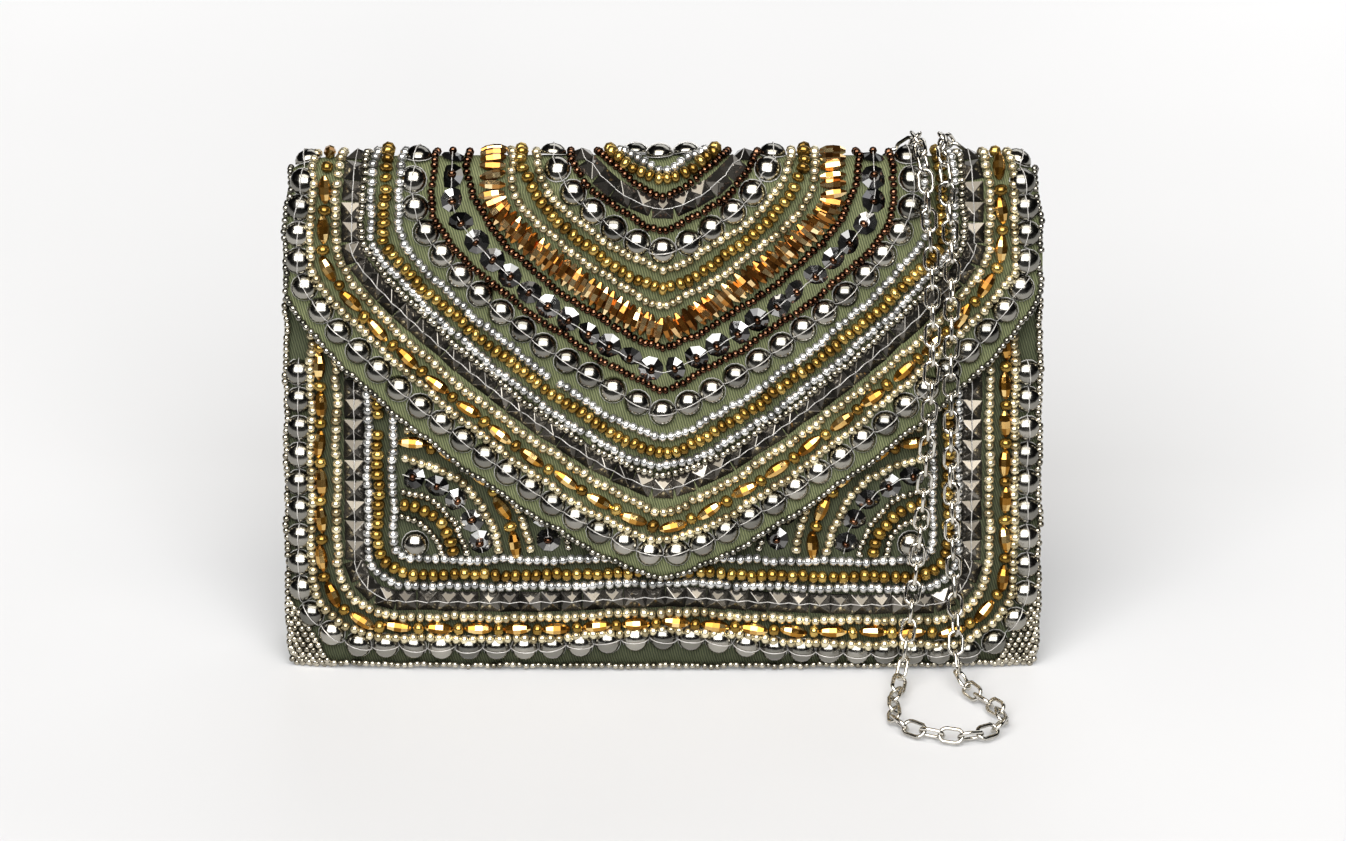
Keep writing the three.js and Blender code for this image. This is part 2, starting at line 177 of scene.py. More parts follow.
print("top of the fold", round(flap_point(0, FOLD_Z + fold_length(0) / 2, 0).z, 1), "mm")

# %% [markdown]
# ## Rows as flat paths
# The rows of the flap are one shape at many sizes: down from the fold, where they lean in a little, and
# then in one long bow by the shoulder to the point. A Bezier curve gives that bow with four places. Rows
# are drawn flat as x and height, then laid on the cloth. The rows of the front are a U with round corners,
# pushed up in the middle where the point of the flap presses.

# %% Paths of the rows
ROW_TOP_Z = 183.2
LEAN_END = 24
FlapRow = namedtuple("FlapRow", "kind half_width bend shoulder point tip lean")
FrontRow = namedtuple("FrontRow", "kind half_width height radius")
FLAP_EDGE = FlapRow("edge", 128.9, 47.3, 21.3, 23.9, 146.6, 0)
EDGE_MARGIN = 0.02
BUMP_HEIGHT, BUMP_MIDDLE, BUMP_WIDTH = 4, 3, 32
BUMP_FADE, BUMP_DRIFT = 60, 0.012


def arc(x, y, radius, start, end, steps=16):
    angles = np.linspace(start, end, steps)
    return [(x + radius * math.cos(a), y + radius * math.sin(a)) for a in angles]


def bow(*controls, steps=40):
    """A Bezier curve from the first control place to the last."""
    curve = []
    for t in np.linspace(0, 1, steps):
        level = np.array(controls, float)
        while len(level) > 1:
            level = level[:-1] * (1 - t) + level[1:] * t
        curve.append(tuple(level[0]))
    return curve


def flap_path(row, top):
    """The row as x and height, from the top on the left round the point to the top on the right."""
    wide, upright = row.half_width, min(LEAN_END, row.bend)
    left = bow((row.lean - wide, top), (-wide, (top + upright) / 2), (-wide, upright))
    left += bow((-wide, row.bend), (-wide, row.bend + row.shoulder), (-row.point, row.tip), (0, row.tip))
    drops = left + [(-x, drop) for x, drop in reversed(left[:-1])]
    return [(x, ROW_TOP_Z - drop) for x, drop in drops]


def front_path(row, top):
    low = row.height + row.radius
    left = [(-row.half_width, top)]
    left += arc(-row.half_width + row.radius, low, row.radius, math.pi, 1.5 * math.pi)
    return left + [(-x, height) for x, height in reversed(left)]


def fine(path, step=0.25):
    """The same path with a place at least every step, in millimetres."""
    places = [path[0]]
    for start, end in zip(path, path[1:]):
        count = max(1, math.ceil(math.dist(start, end) / step))
        places += [tuple(p) for p in np.linspace(start, end, count + 1)[1:]]
    return places


edge_line = np.array([p for p in fine(flap_path(FLAP_EDGE, 0)) if p[0] >= 0])


def flap_edge_height(x):
    """Height of the free edge of the flap at x."""
    inside = min(abs(x), FLAP_EDGE.half_width - EDGE_MARGIN)
    return float(np.interp(inside, edge_line[:, 0], edge_line[:, 1]))


def bump(x, height):
    """How far the point of the flap pushes the lower rows up."""
    wave = BUMP_HEIGHT * math.exp(-(((x - BUMP_MIDDLE) / BUMP_WIDTH) ** 2)) - BUMP_DRIFT * x
    return wave * max(0, 1 - height / BUMP_FADE)


def front_row_point(x, height, out):
    return front_point(x, height + bump(x, height), out)


sides = [round(flap_edge_height(x)) for x in (FLAP_EDGE.half_width, 0)]
print("height of the flap's edge at the side and at the point:", sides)

# %% [markdown]
# ## Twill
# The cloth is a firm olive cotton with fine upright ribs, less than a millimetre apart. A picture of cloth
# would do, but a wave texture that follows the cloth's own UV map stays sharp at any distance. The same
# wave gives colour and bump: the ridges are paler, and the grooves are darker and greener, partly the
# weave's own colour and partly painted shade in the grooves. Slow noise adds the uneven dye.

# %% Twill material
RIB, RIB_SLANT = 0.85, math.radians(-16)
WAVE_PERIOD = math.pi / 10
UV_UNIT = 100


def new_material(name):
    material = bpy.data.materials.new(name)
    material.use_nodes = True
    tree = material.node_tree
    return material, tree.nodes, tree.links, tree.nodes["Principled BSDF"]


def set_inputs(node, **values):
    """Set sockets by name, with an underscore for each space."""
    for name, value in values.items():
        node.inputs[name.replace("_", " ")].default_value = value


def ramp_by(nodes, links, value, *stops):
    """Colours of a ramp, by a value from 0 to 1."""
    ramp = nodes.new("ShaderNodeValToRGB")
    marks = ramp.color_ramp.elements
    for mark, (position, colour) in zip(marks, (stops[0], stops[-1])):
        mark.position = position
        mark.color = (*colour, 1)
    for position, colour in stops[1:-1]:
        marks.new(position).color = (*colour, 1)
    links.new(value, ramp.inputs["Fac"])
    return ramp.outputs["Color"]


def noise_on(nodes, links, coords, scale, detail=3):
    noise = nodes.new("ShaderNodeTexNoise")
    set_inputs(noise, Scale=scale, Detail=detail)
    links.new(coords, noise.inputs["Vector"])
    return noise.outputs["Fac"]


def bump_on(nodes, links, height, strength, distance):
    relief = nodes.new("ShaderNodeBump")
    set_inputs(relief, Strength=strength, Distance=distance)
    links.new(height, relief.inputs["Height"])
    return relief


def twill(name, groove_weave_and_shade, ridge, shade):
    material, nodes, links, shader = new_material(name)
    uv = nodes.new("ShaderNodeUVMap")
    uv.uv_map = "weave"
    turned = nodes.new("ShaderNodeMapping")
    turned.inputs["Rotation"].default_value = (0, 0, RIB_SLANT)
    links.new(uv.outputs["UV"], turned.inputs["Vector"])
    ribs = nodes.new("ShaderNodeTexWave")
    set_inputs(ribs, Scale=WAVE_PERIOD / (RIB / UV_UNIT), Distortion=1.6, Detail=2, Detail_Scale=2.5)
    links.new(turned.outputs["Vector"], ribs.inputs["Vector"])
    # Grooves darker than ridges: partly the weave's own colour, partly painted shade in the grooves.
    colour = ramp_by(nodes, links, ribs.outputs["Color"], (0.1, groove_weave_and_shade), (0.85, ridge))
    dye = noise_on(nodes, links, uv.outputs["UV"], scale=9, detail=4)
    uneven = ramp_by(nodes, links, dye, (0.3, shade), (0.65, (1, 1, 1)))
    mixed = nodes.new("ShaderNodeMix")
    mixed.data_type = "RGBA"
    mixed.blend_type = "MULTIPLY"
    mixed.inputs["Factor"].default_value = 1
    links.new(colour, mixed.inputs[6])
    links.new(uneven, mixed.inputs[7])
    links.new(mixed.outputs[2], shader.inputs["Base Color"])
    pucker = noise_on(nodes, links, uv.outputs["UV"], scale=14, detail=2)
    soft = bump_on(nodes, links, pucker, strength=0.3, distance=0.0012)
    raised = bump_on(nodes, links, ribs.outputs["Fac"], strength=0.55, distance=0.00025)
    links.new(soft.outputs["Normal"], raised.inputs["Normal"])
    links.new(raised.outputs["Normal"], shader.inputs["Normal"])
    shader.inputs["Roughness"].default_value = 0.82
    return material


FADED_DYE = (0.85, 0.86, 0.85)
olive_twill = twill("olive_twill", (0.063, 0.071, 0.032), (0.162, 0.175, 0.088), FADED_DYE)
# The darker twill is painted shade: the front's cloth darkened for the shade under the flap and the rows.
painted_shade_twill = twill("painted_shade_twill", (0.026, 0.031, 0.015), (0.07, 0.078, 0.039), FADED_DYE)
print("made", olive_twill.name, "and", painted_shade_twill.name)

# %% [markdown]
# ## Cloth from a grid
# Each panel starts as a flat grid. Every point is moved to its place by the formulas, as cloth is laid on
# a form, and keeps the place it had on the flat cloth as its UV. A Solidify modifier then adds the
# thickness towards the inside, so the outside stays where the beads will sit.

# %% Helpers for cloth panels
SLACK_DEPTH, SLACK_ACROSS, SLACK_UP = 0.18, 9.0, 11.0
SLACK_SKEW_UP, SLACK_SKEW_ACROSS = 23, 37
HOLLOW_DEPTH, HOLLOW_ACROSS, HOLLOW_UP = 0.5, 21, 17
HOLLOW_SHIFT, HOLLOW_SKEW = 0.8, 60


def keep_piece(mesh, name, material):
    """Finish a mesh as a piece of the bag."""
    mesh.materials.append(material)
    piece = placed(name, mesh)
    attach(piece, "root")
    return piece


def cloth_panel(name, lay, thickness, material, columns, rows):
    """A panel whose places and flat places come from lay(u, v), with u from -1 to 1 and v from 0 to 1."""
    bm = bmesh.new()
    bmesh.ops.create_grid(bm, x_segments=columns, y_segments=rows, size=1)
    flat = {}
    for vert in bm.verts:
        place, flat[vert] = lay(vert.co.x, (vert.co.y + 1) / 2)
        vert.co = place * MM
    weave = bm.loops.layers.uv.new("weave")
    for face in bm.faces:
        face.smooth = True
        for loop in face.loops:
            loop[weave].uv = (flat[loop.vert][0] / UV_UNIT, flat[loop.vert][1] / UV_UNIT)
    mesh = bpy.data.meshes.new(name)
    bm.to_mesh(mesh)
    bm.free()
    piece = keep_piece(mesh, name, material)
    wall = piece.modifiers.new("thickness", "SOLIDIFY")
    wall.thickness = thickness * MM
    wall.offset = -1
    return piece


def crowded(u):
    """Columns closer together towards the side seams."""
    return math.sin(math.pi / 2 * u)


def slack(x, height):
    """The cloth isn't quite flat: it gives a little between the rows of stitches."""
    across = math.sin(x / SLACK_ACROSS + height / SLACK_SKEW_UP)
    return SLACK_DEPTH * across * math.sin(height / SLACK_UP - x / SLACK_SKEW_ACROSS)


def hollows(x, height):
    """The plain back is slacker: between its seams it sinks in soft, wide hollows."""
    up = (height - FULLEST_Z) / (FOLD_Z - FULLEST_Z)
    inside = math.sin(math.pi * min(max(up, 0), 1)) * (1 - (x / HALF_WIDTH) ** 4)
    wave = math.sin(x / HOLLOW_ACROSS + HOLLOW_SHIFT) * math.sin(height / HOLLOW_UP + x / HOLLOW_SKEW)
    return slack(x, height) - HOLLOW_DEPTH * (1 + wave) * inside


print("grids get", CLOTH, "mm of thickness")

# %% [markdown]
# ## Front panel
# The front is one piece of cloth from under the base up to the mouth, which the flap hides. A fifth of the
# grid's rows goes into the turn at the base, where the cloth bends most.

# %% Front panel
TURN_ROWS = 0.2


def wall_lay(side, top, give):
    def lay(u, v):
        if v < TURN_ROWS:
            height = FULLEST_Z * v / TURN_ROWS
        else:
            height = FULLEST_Z + (top - FULLEST_Z) * (v - TURN_ROWS) / (1 - TURN_ROWS)
        z = wall_point(side, 0, height, 0).z
        x = crowded(u) * half_width(z) / taper(z)
        return wall_point(side, x, height, give(x, height) if height > FULLEST_Z else 0), (x, height)

    return lay


front_lay = wall_lay(-1, MOUTH_Z, slack)
# The front gets the darker twill, which paints the shade of the flap and the bead rows into its colour.
front_cloth = cloth_panel("front_cloth", front_lay, CLOTH, painted_shade_twill, columns=90, rows=60)
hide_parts("front_panel")
print("front panel", len(front_cloth.data.polygons), "faces")

# %% [markdown]
# ## Gusset
# A strip of the same cloth runs down one side, along the base and up the other side. Near the mouth it is
# folded inwards, as the sides of an envelope bag are when it is closed. The grid's length follows that
# route and its width goes from the front to the back.

# %% Gusset
GUSSET_TUCK, TUCK_LOW, TUCK_HIGH = 9, 20, 110
GUSSET_WALL = CLOTH - CLEAR
GUSSET_FLAT_HALF = 14
side_rise = MOUTH_Z - CLEAR - CORNER_RADIUS
corner_run = CORNER_RADIUS * math.pi / 2
corner_x = half_width(CORNER_RADIUS) - CORNER_RADIUS
gusset_length = 2 * (side_rise + corner_run + corner_x)


def gusset_half(x, z):
    full = half_depth(x, FULLEST_Z)
    if z >= FULLEST_Z:
        return half_depth(x, z) - CLOTH - CLEAR
    fall = min((FULLEST_Z - z) / (FULLEST_Z - CLOTH), 1)
    return FOOT_SHARE * full + ((1 - FOOT_SHARE) * full - CLOTH) * math.sqrt(1 - fall**2) - CLEAR


def gusset_station(run):
    """Place and inward direction on the right half, from the mouth (0) to the middle of the base."""
    if run < side_rise:
        z = MOUTH_Z - CLEAR - run
        return Vector((half_width(z), 0, z)), Vector((-1, 0, 0))
    if run < side_rise + corner_run:
        angle = (run - side_rise) / CORNER_RADIUS
        inward = Vector((-math.cos(angle), 0, math.sin(angle)))
        return Vector((corner_x, 0, CORNER_RADIUS)) - inward * CORNER_RADIUS, inward
    return Vector((corner_x - (run - side_rise - corner_run), 0, 0)), Vector((0, 0, 1))


def gusset_lay(u, v):
    run = v * gusset_length
    mirrored = run < gusset_length / 2
    place, inward = gusset_station(run if mirrored else gusset_length - run)
    tuck = GUSSET_TUCK * soft_step(place.z, TUCK_LOW, TUCK_HIGH) * (1 - abs(u))
    point = place + inward * tuck
    point.y = middle_y(place.z) + u * gusset_half(place.x, place.z)
    if mirrored:
        point.x = -point.x
    return point, (u * GUSSET_FLAT_HALF, run)


gusset_cloth = cloth_panel("gusset_cloth", gusset_lay, GUSSET_WALL, olive_twill, columns=12, rows=130)
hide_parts("gusset")
print("gusset", round(gusset_length), "mm long")

# %% [markdown]
# ## Back and flap
# One long piece of cloth goes up the back, over the fold and down the front to the pointed edge of the
# flap. The grid has three stretches with their own share of the rows, and in the last one each column ends
# at the edge of the flap, so the point needs no cutting.

# %% Back and flap
BACK_ROWS, FOLD_ROWS = 0.42, 0.58
FOLD_FLAT, SLACK_GROWTH = 24, 6
back_lay = wall_lay(1, FOLD_Z, hollows)


def back_and_flap_lay(u, v):
    if v < BACK_ROWS:
        place, (x, height) = back_lay(-u, v / BACK_ROWS)
        return place, (-x, height)
    x = -crowded(u) * HALF_WIDTH
    if v < FOLD_ROWS:
        share = (v - BACK_ROWS) / (FOLD_ROWS - BACK_ROWS)
        height = FOLD_Z + (1 - share) * fold_length(x)
        return flap_point(x, height, 0), (-x, FOLD_Z + share * fold_length(x))
    share = (v - FOLD_ROWS) / (1 - FOLD_ROWS)
    height = FOLD_Z + (flap_edge_height(x) - FOLD_Z) * share
    give = slack(x, height) * min(1, SLACK_GROWTH * share)
    return flap_point(x, height, give), (-x, 2 * FOLD_Z + FOLD_FLAT - height)


back_and_flap_cloth = cloth_panel(
    "back_and_flap_cloth",
    back_and_flap_lay,
    CLOTH,
    olive_twill,
    columns=100,
    rows=120,
)
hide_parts("back_and_flap")
print("back and flap", len(back_and_flap_cloth.data.polygons), "faces")

# %% [markdown]
# ## Seats for beads
# A bead needs a place on the cloth and three directions: along its row, across it, and straight out. The
# outward direction is found from two short steps on the surface. A string is laid by walking along its
# path and stopping every few millimetres, and every stop is nudged, because the beads are sewn by hand.

# %% Laying a string
HALF_STEP, LOOK_AHEAD = 0.5, 0.6


def seat(surface, x, height):
    """Place on the cloth and the direction straight out of it."""
    point = surface(x, height, 0)
    across = surface(x + HALF_STEP, height, 0) - surface(x - HALF_STEP, height, 0)
    up = surface(x, height + HALF_STEP, 0) - surface(x, height - HALF_STEP, 0)
    normal = across.cross(up).normalized()
    outward = surface(x, height, 1) - point
    return point, normal if normal.dot(outward) > 0 else -normal


def square_to(axis, direction):
    """The part of a direction that is square to an axis."""
    return (direction - axis * direction.dot(axis)).normalized()


def frame_from(point, along, out):
    """Matrix with X along the row, Y across it and Z straight out."""
    matrix = Matrix((along, out.cross(along), out)).transposed().to_4x4()
    matrix.translation = point
    return matrix


def frame_at(surface, x, height, ahead):
    """The frame of a seat on the cloth, with X as near as can be to the way ahead."""
    point, out = seat(surface, x, height)
    return frame_from(point, square_to(out, ahead), out)


def run_along(points):
    """How far each place lies from the first one, along the line."""
    return np.concatenate([[0], np.cumsum(np.linalg.norm(np.diff(points, axis=0), axis=1))])


def between(values, run, at):
    return np.array([np.interp(at, run, column) for column in values.T])


def even_stops(length, pitch):
    """Stops about one pitch apart, with half a space at either end."""
    count = max(1, round(length / pitch))
    return (np.arange(count) + 0.5) * length / count


def frames_along(surface, flat, points, run, stops):
    frames = []
    for stop in stops:
        x, height = between(flat, run, stop)
        before, after = max(stop - LOOK_AHEAD, 0), min(stop + LOOK_AHEAD, run[-1])
        ahead = between(points, run, after) - between(points, run, before)
        frames.append(frame_at(surface, x, height, Vector(ahead)))
    return frames


def stops_on(surface, path, pitch):
    """Frames along a path, evenly spaced on the cloth, about one pitch apart."""
    flat = np.array(fine(path))
    points = np.array([surface(x, height, 0) for x, height in flat])
    run = run_along(points)
    return frames_along(surface, flat, points, run, even_stops(run[-1], pitch))


def counted_stops(surface, path, count):
    """The same number of places as the frame's row, from the first end of the path to the last."""
    flat = np.array(fine(path, step=0.1))
    points = np.array([surface(x, height, 0) for x, height in flat])
    run = run_along(flat)
    return frames_along(surface, flat, points, run, np.linspace(0, run[-1], count))


def nudged(matrix, shift, tilt, raise_by=0.0):
    """The same seat, moved and turned by small random amounts."""
    along, across = rng.normal(0, shift, 2)
    turn = [math.radians(a) for a in rng.normal(0, tilt, 3)]
    moved = Matrix.Translation((along, across, raise_by))
    for angle, axis in zip(turn, "XYZ"):
        moved = moved @ Matrix.Rotation(angle, 4, axis)
    return matrix @ moved


print("out of the middle of the flap:", [round(c, 2) for c in seat(flap_point, 0, MOUTH_Z)[1]])

# %% [markdown]
# ## Bead shapes
# A bag like this has a handful of bead types, each sewn on hundreds of times. Each type is modelled once,
# in millimetres, with a few dozen faces: its axis lies along X, as on its thread, and Z points away from
# the cloth. Round beads are smooth, and cut stones keep flat faces, because their sparkle comes from these.

# %% Round beads
DOME_RADIUS, DOME_BASE, DOME_TOP = 4.65, 0.3, 4.15
DOME_SIDES, DOME_ANGLES = 14, (0, 18, 38, 60, 90)
BASE_EDGE = 0.1
RIM_PROFILE = [(4.6, 0.25), (4.8, 0.25), (4.75, 0.4), (4.6, 0.5), (4.6, 0.25)]


def smooth(bm, value=True):
    for face in bm.faces:
        face.smooth = value
    return bm


def turn_shape(bm, angle, axis):
    bmesh.ops.rotate(bm, verts=bm.verts, cent=(0, 0, 0), matrix=Matrix.Rotation(angle, 3, axis))


def seed_bead(cut=0.38):
    """A round bead one millimetre long and across, with its hole along X and its ends cut flat."""
    bm = bmesh.new()
    bmesh.ops.create_uvsphere(bm, u_segments=8, v_segments=6, radius=0.5)
    turn_shape(bm, math.pi / 2, "Y")
    for vert in bm.verts:
        vert.co.x = max(-cut, min(cut, vert.co.x)) / cut / 2
    return smooth(bm)


def full_turn(bm, geom, axis, steps):
    """Spin a line or a ring once about an axis through the origin, and close the seam and the poles."""
    bmesh.ops.spin(
        bm,
        geom=geom,
        cent=(0, 0, 0),
        axis=axis,
        angle=2 * math.pi,
        steps=steps,
        use_merge=True,
    )
    bmesh.ops.remove_doubles(bm, verts=bm.verts, dist=0.001)
    bmesh.ops.recalc_face_normals(bm, faces=bm.faces)
    return bm


def spun(profile, axis, sides):
    """A closed round shape from a profile of places."""
    bm = bmesh.new()
    line = [bm.verts.new(place) for place in profile]
    edges = [bm.edges.new(pair) for pair in zip(line, line[1:])]
    return full_turn(bm, line + edges, axis, sides)


def mirror_dome():
    """A mirrored bead, nearly a half ball, with a flat base."""
    angles = [math.radians(a) for a in DOME_ANGLES]
    rise = DOME_TOP - DOME_BASE
    profile = [(0, 0, DOME_BASE)]
    profile += [(DOME_RADIUS * math.cos(a), 0, DOME_BASE + rise * math.sin(a)) for a in angles]
    bm = spun(profile, (0, 0, 1), DOME_SIDES)
    for face in bm.faces:
        face.smooth = face.calc_center_median().z > DOME_BASE + BASE_EDGE
    return bm


def clear_rim():
    """The thin flange that shows as a pale ring round a dome."""
    return smooth(spun([(x, 0, z) for x, z in RIM_PROFILE], (0, 0, 1), DOME_SIDES))


seed, dome, rim = seed_bead(), mirror_dome(), clear_rim()
print("dome faces", len(dome.faces), "seed faces", len(seed.faces))

# %% [markdown]
# ## Cut stones
# The smoky studs are little pyramids with a blunt top and softened edges. The sequins are flat cut discs.
# The amber stones are long crystals, fullest in the middle: barrels with eight cut sides, and leaner,
# pointed ones with six.

# %% Cut stones
STUD_SIDE, STUD_HEIGHT, STUD_TOP, STUD_EDGE = 7.3, 2.6, 0.35, 0.16
SEQUIN_RADIUS, SEQUIN_TOP, SEQUIN_HEIGHT, SEQUIN_SIDES = 4.35, 1.9, 1.0, 9
STONE_LIFT = 0.3


def cut_cone(sides, base, top, height):
    """A blunt cone with flat sides, a little above the cloth."""
    bm = bmesh.new()
    bmesh.ops.create_cone(bm, cap_ends=True, segments=sides, radius1=base, radius2=top, depth=height)
    bmesh.ops.translate(bm, verts=bm.verts, vec=(0, 0, height / 2 + STONE_LIFT))
    return bm


def pyramid_stud():
    bm = cut_cone(4, STUD_SIDE / math.sqrt(2), STUD_TOP, STUD_HEIGHT)
    turn_shape(bm, math.pi / 4, "Z")
    bmesh.ops.bevel(
        bm,
        geom=bm.edges[:],
        offset=STUD_EDGE,
        affect="EDGES",
        segments=1,
        profile=0.5,
        material=-1,
    )
    return smooth(bm, False)


def cut_sequin():
    return smooth(cut_cone(SEQUIN_SIDES, SEQUIN_RADIUS, SEQUIN_TOP, SEQUIN_HEIGHT), False)


def cut_crystal(outline, length, width, sides):
    """A long stone with flat facets, from its outline as shares of its length and width."""
    profile = [(x * length, 0, radius * width) for x, radius in outline]
    ends = [(profile[0][0], 0, 0), (profile[-1][0], 0, 0)]
    return smooth(spun([ends[0], *profile, ends[1]], (1, 0, 0), sides), False)


BARREL = [(-0.5, 0.15), (-0.37, 0.36), (-0.12, 0.5), (0.14, 0.5), (0.36, 0.37), (0.5, 0.15)]
POINTED = [(-0.5, 0.16), (-0.28, 0.43), (0.0, 0.5), (0.28, 0.43), (0.5, 0.16)]

stud, sequin = pyramid_stud(), cut_sequin()
rice = cut_crystal(BARREL, length=9.6, width=4.2, sides=8)
drop = cut_crystal(POINTED, length=8.8, width=3.5, sides=6)
print("stud faces", len(stud.faces), "crystal faces", len(rice.faces))

# %% [markdown]
# ## Bead finishes
# No two beads of a string have quite the same plating. Each bead carries a number, its tone, as a mesh
# attribute, and the finish reads its colour from a ramp by that number. Fine noise on the roughness keeps
# the highlights from looking machine made.

# %% Bead materials
NOISE_MID = (0.3, 0.7)


def ranged(nodes, links, value, limits, results):
    """A value between two limits, turned into one between two results."""
    turned = nodes.new("ShaderNodeMapRange")
    set_inputs(turned, From_Min=limits[0], From_Max=limits[1], To_Min=results[0], To_Max=results[1])
    links.new(value, turned.inputs["Value"])
    return turned.outputs["Result"]


def mottled(name, low, high, scale, roughness):
    """A plain material that is cloudy between two colours."""
    material, nodes, links, shader = new_material(name)
    coords = nodes.new("ShaderNodeTexCoord").outputs["Object"]
    clouds = noise_on(nodes, links, coords, scale)
    colour = ramp_by(nodes, links, clouds, (NOISE_MID[0], low), (NOISE_MID[1], high))
    links.new(colour, shader.inputs["Base Color"])
    set_inputs(shader, Roughness=roughness)
    return material, nodes, links, shader


def bead_finish(name, colours, roughness, metallic=1.0):
    """A finish that runs through the colours by tone, with roughness between two values."""
    material, nodes, links, shader = new_material(name)
    tone = nodes.new("ShaderNodeAttribute")
    tone.attribute_name = "tone"
    stops = [(i / (len(colours) - 1), colour) for i, colour in enumerate(colours)]
    colour = ramp_by(nodes, links, tone.outputs["Fac"], *stops)
    links.new(colour, shader.inputs["Base Color"])
    coords = nodes.new("ShaderNodeTexCoord")
    wear = noise_on(nodes, links, coords.outputs["Object"], scale=900, detail=2)
    links.new(ranged(nodes, links, wear, NOISE_MID, roughness), shader.inputs["Roughness"])
    set_inputs(shader, Metallic=metallic)
    return material


FINISHES = {
    "champagne": bead_finish(
        "champagne_plate",
        [(0.3, 0.25, 0.15), (0.86, 0.78, 0.56)],
        (0.16, 0.28),
        0.82,
    ),
    "silver": bead_finish("silver_plate", [(0.3, 0.3, 0.295), (0.86, 0.86, 0.85)], (0.16, 0.28), 0.84),
    "pearl": bead_finish("pearl_plate", [(0.23, 0.21, 0.165), (0.6, 0.56, 0.47)], (0.13, 0.24), 0.95),
    "steel": bead_finish("steel_plate", [(0.13, 0.127, 0.11), (0.42, 0.4, 0.35)], (0.14, 0.25), 0.95),
    "copper": bead_finish("brown_plate", [(0.055, 0.026, 0.015), (0.17, 0.092, 0.055)], (0.11, 0.19)),
    "gold": bead_finish(
        "antique_gold",
        [(0.16, 0.096, 0.022), (0.3, 0.195, 0.05), (0.52, 0.37, 0.125)],
        (0.16, 0.27),
        0.85,
    ),
    "amber": bead_finish(
        "amber_crystal",
        [(0.1, 0.042, 0.009), (0.41, 0.21, 0.037), (1.0, 0.77, 0.38)],
        (0.05, 0.14),
        0.88,
    ),
    "copper_cut": bead_finish(
        "copper_crystal",
        [(0.1, 0.036, 0.01), (0.4, 0.187, 0.045), (1.0, 0.83, 0.49)],
        (0.05, 0.14),
        0.89,
    ),
    "smoke": bead_finish(
        "smoke_stud",
        [(0.045, 0.042, 0.038), (0.1, 0.093, 0.082), (0.25, 0.232, 0.205)],
        (0.06, 0.14),
        0.8,
    ),
    "hematite": bead_finish(
        "hematite_sequin",
        [(0.03, 0.03, 0.031), (0.09, 0.089, 0.087), (0.26, 0.256, 0.25), (0.62, 0.615, 0.6)],
        (0.05, 0.13),
        0.95,
    ),
    "mirror": bead_finish("gunmetal_mirror", [(0.17, 0.166, 0.15), (0.4, 0.385, 0.345)], (0.15, 0.24)),
    "stitch": bead_finish("olive_thread", [(0.13, 0.14, 0.075), (0.24, 0.25, 0.14)], (0.6, 0.75), 0.0),
}
print("finishes:", ", ".join(FINISHES))

# %% [markdown]
# ## Joining copies
# Thousands of separate objects would be slow, and instances would have to be made real anyway. Instead the
# corners of one bead are multiplied by all the seats of its kind at once, and the result is a single mesh
# with a tone for every face. In a cut stone light is broken many times, so its facets differ in tone.
# The faces are sorted first, since the tools that spin a shape don't always list them in one order.

# %% Helper that joins copies


def fixed_faces(shape):
    """Faces as corner numbers, each from its lowest one on, in an order that is the same at every run."""
    faces = []
    for face in shape.faces:
        ring = [vert.index for vert in face.verts]
        first = ring.index(min(ring))
        faces.append((ring[first:] + ring[:first], face.smooth))
    return sorted(faces)


def join_copies(name, shape, frames, finish, facet_spread=0.0):
    """One piece from a copy of the shape at each frame. Facets may differ in tone, as in a cut stone."""
    shape.verts.index_update()
    corners = np.array([vert.co[:] for vert in shape.verts])
    matrices = np.array([[row[:] for row in matrix] for matrix in frames])
    places = matrices[:, None, :3, :3] @ corners[None, :, :, None]
    places = places[..., 0] + matrices[:, None, :3, 3]
    pattern = fixed_faces(shape)
    count = len(corners)
    faces = [[i + count * k for i in ring] for k in range(len(frames)) for ring, _ in pattern]
    mesh = bpy.data.meshes.new(name)
    mesh.from_pydata((places.reshape(-1, 3) * MM).tolist(), [], faces)
    is_smooth = [value for _, value in pattern] * len(frames)
    mesh.polygons.foreach_set("use_smooth", is_smooth)
    tones = np.repeat(rng.uniform(0, 1, len(frames)), len(pattern))
    tones = (1 - facet_spread) * tones + facet_spread * rng.uniform(0, 1, len(faces))
    tone = mesh.attributes.new("tone", "FLOAT", "FACE")
    tone.data.foreach_set("value", tones.astype(np.float32))
    return keep_piece(mesh, name, FINISHES[finish])


Bead = namedtuple("Bead", "finish across pitch")
BEADS = {
    "champ": Bead("champagne", 3.6, 2.75),
    "small_champ": Bead("champagne", 3.4, 2.5),
    "big_champ": Bead("champagne", 3.7, 2.95),
    "silver": Bead("silver", 3.55, 2.65),
    "big_silver": Bead("silver", 3.65, 2.9),
    "tiny": Bead("pearl", 2.85, 2.15),
    "edge": Bead("pearl", 2.5, 2.2),
    "hem": Bead("steel", 2.3, 2.05),
    "brown": Bead("copper", 2.9, 2.05),
    "gold": Bead("gold", 4.7, 3.0),
    "big_gold": Bead("gold", 4.6, 3.5),
}
sewn = {finish: [] for finish in ("champagne", "silver", "pearl", "steel", "copper", "gold")}
studs, sequins, rice_crystals, drop_crystals = [], [], [], []
thread_lines = []
print("bead kinds:", ", ".join(BEADS))

# %% [markdown]
# ## Sewing a row
# One function sews any row. Round beads sit half their height above the cloth and vary in size. The rice
# crystals take turns with a gold bead. Studs, sequins and domes are held by a clear thread that runs over
# them, so their seats are also kept as the line of that thread.

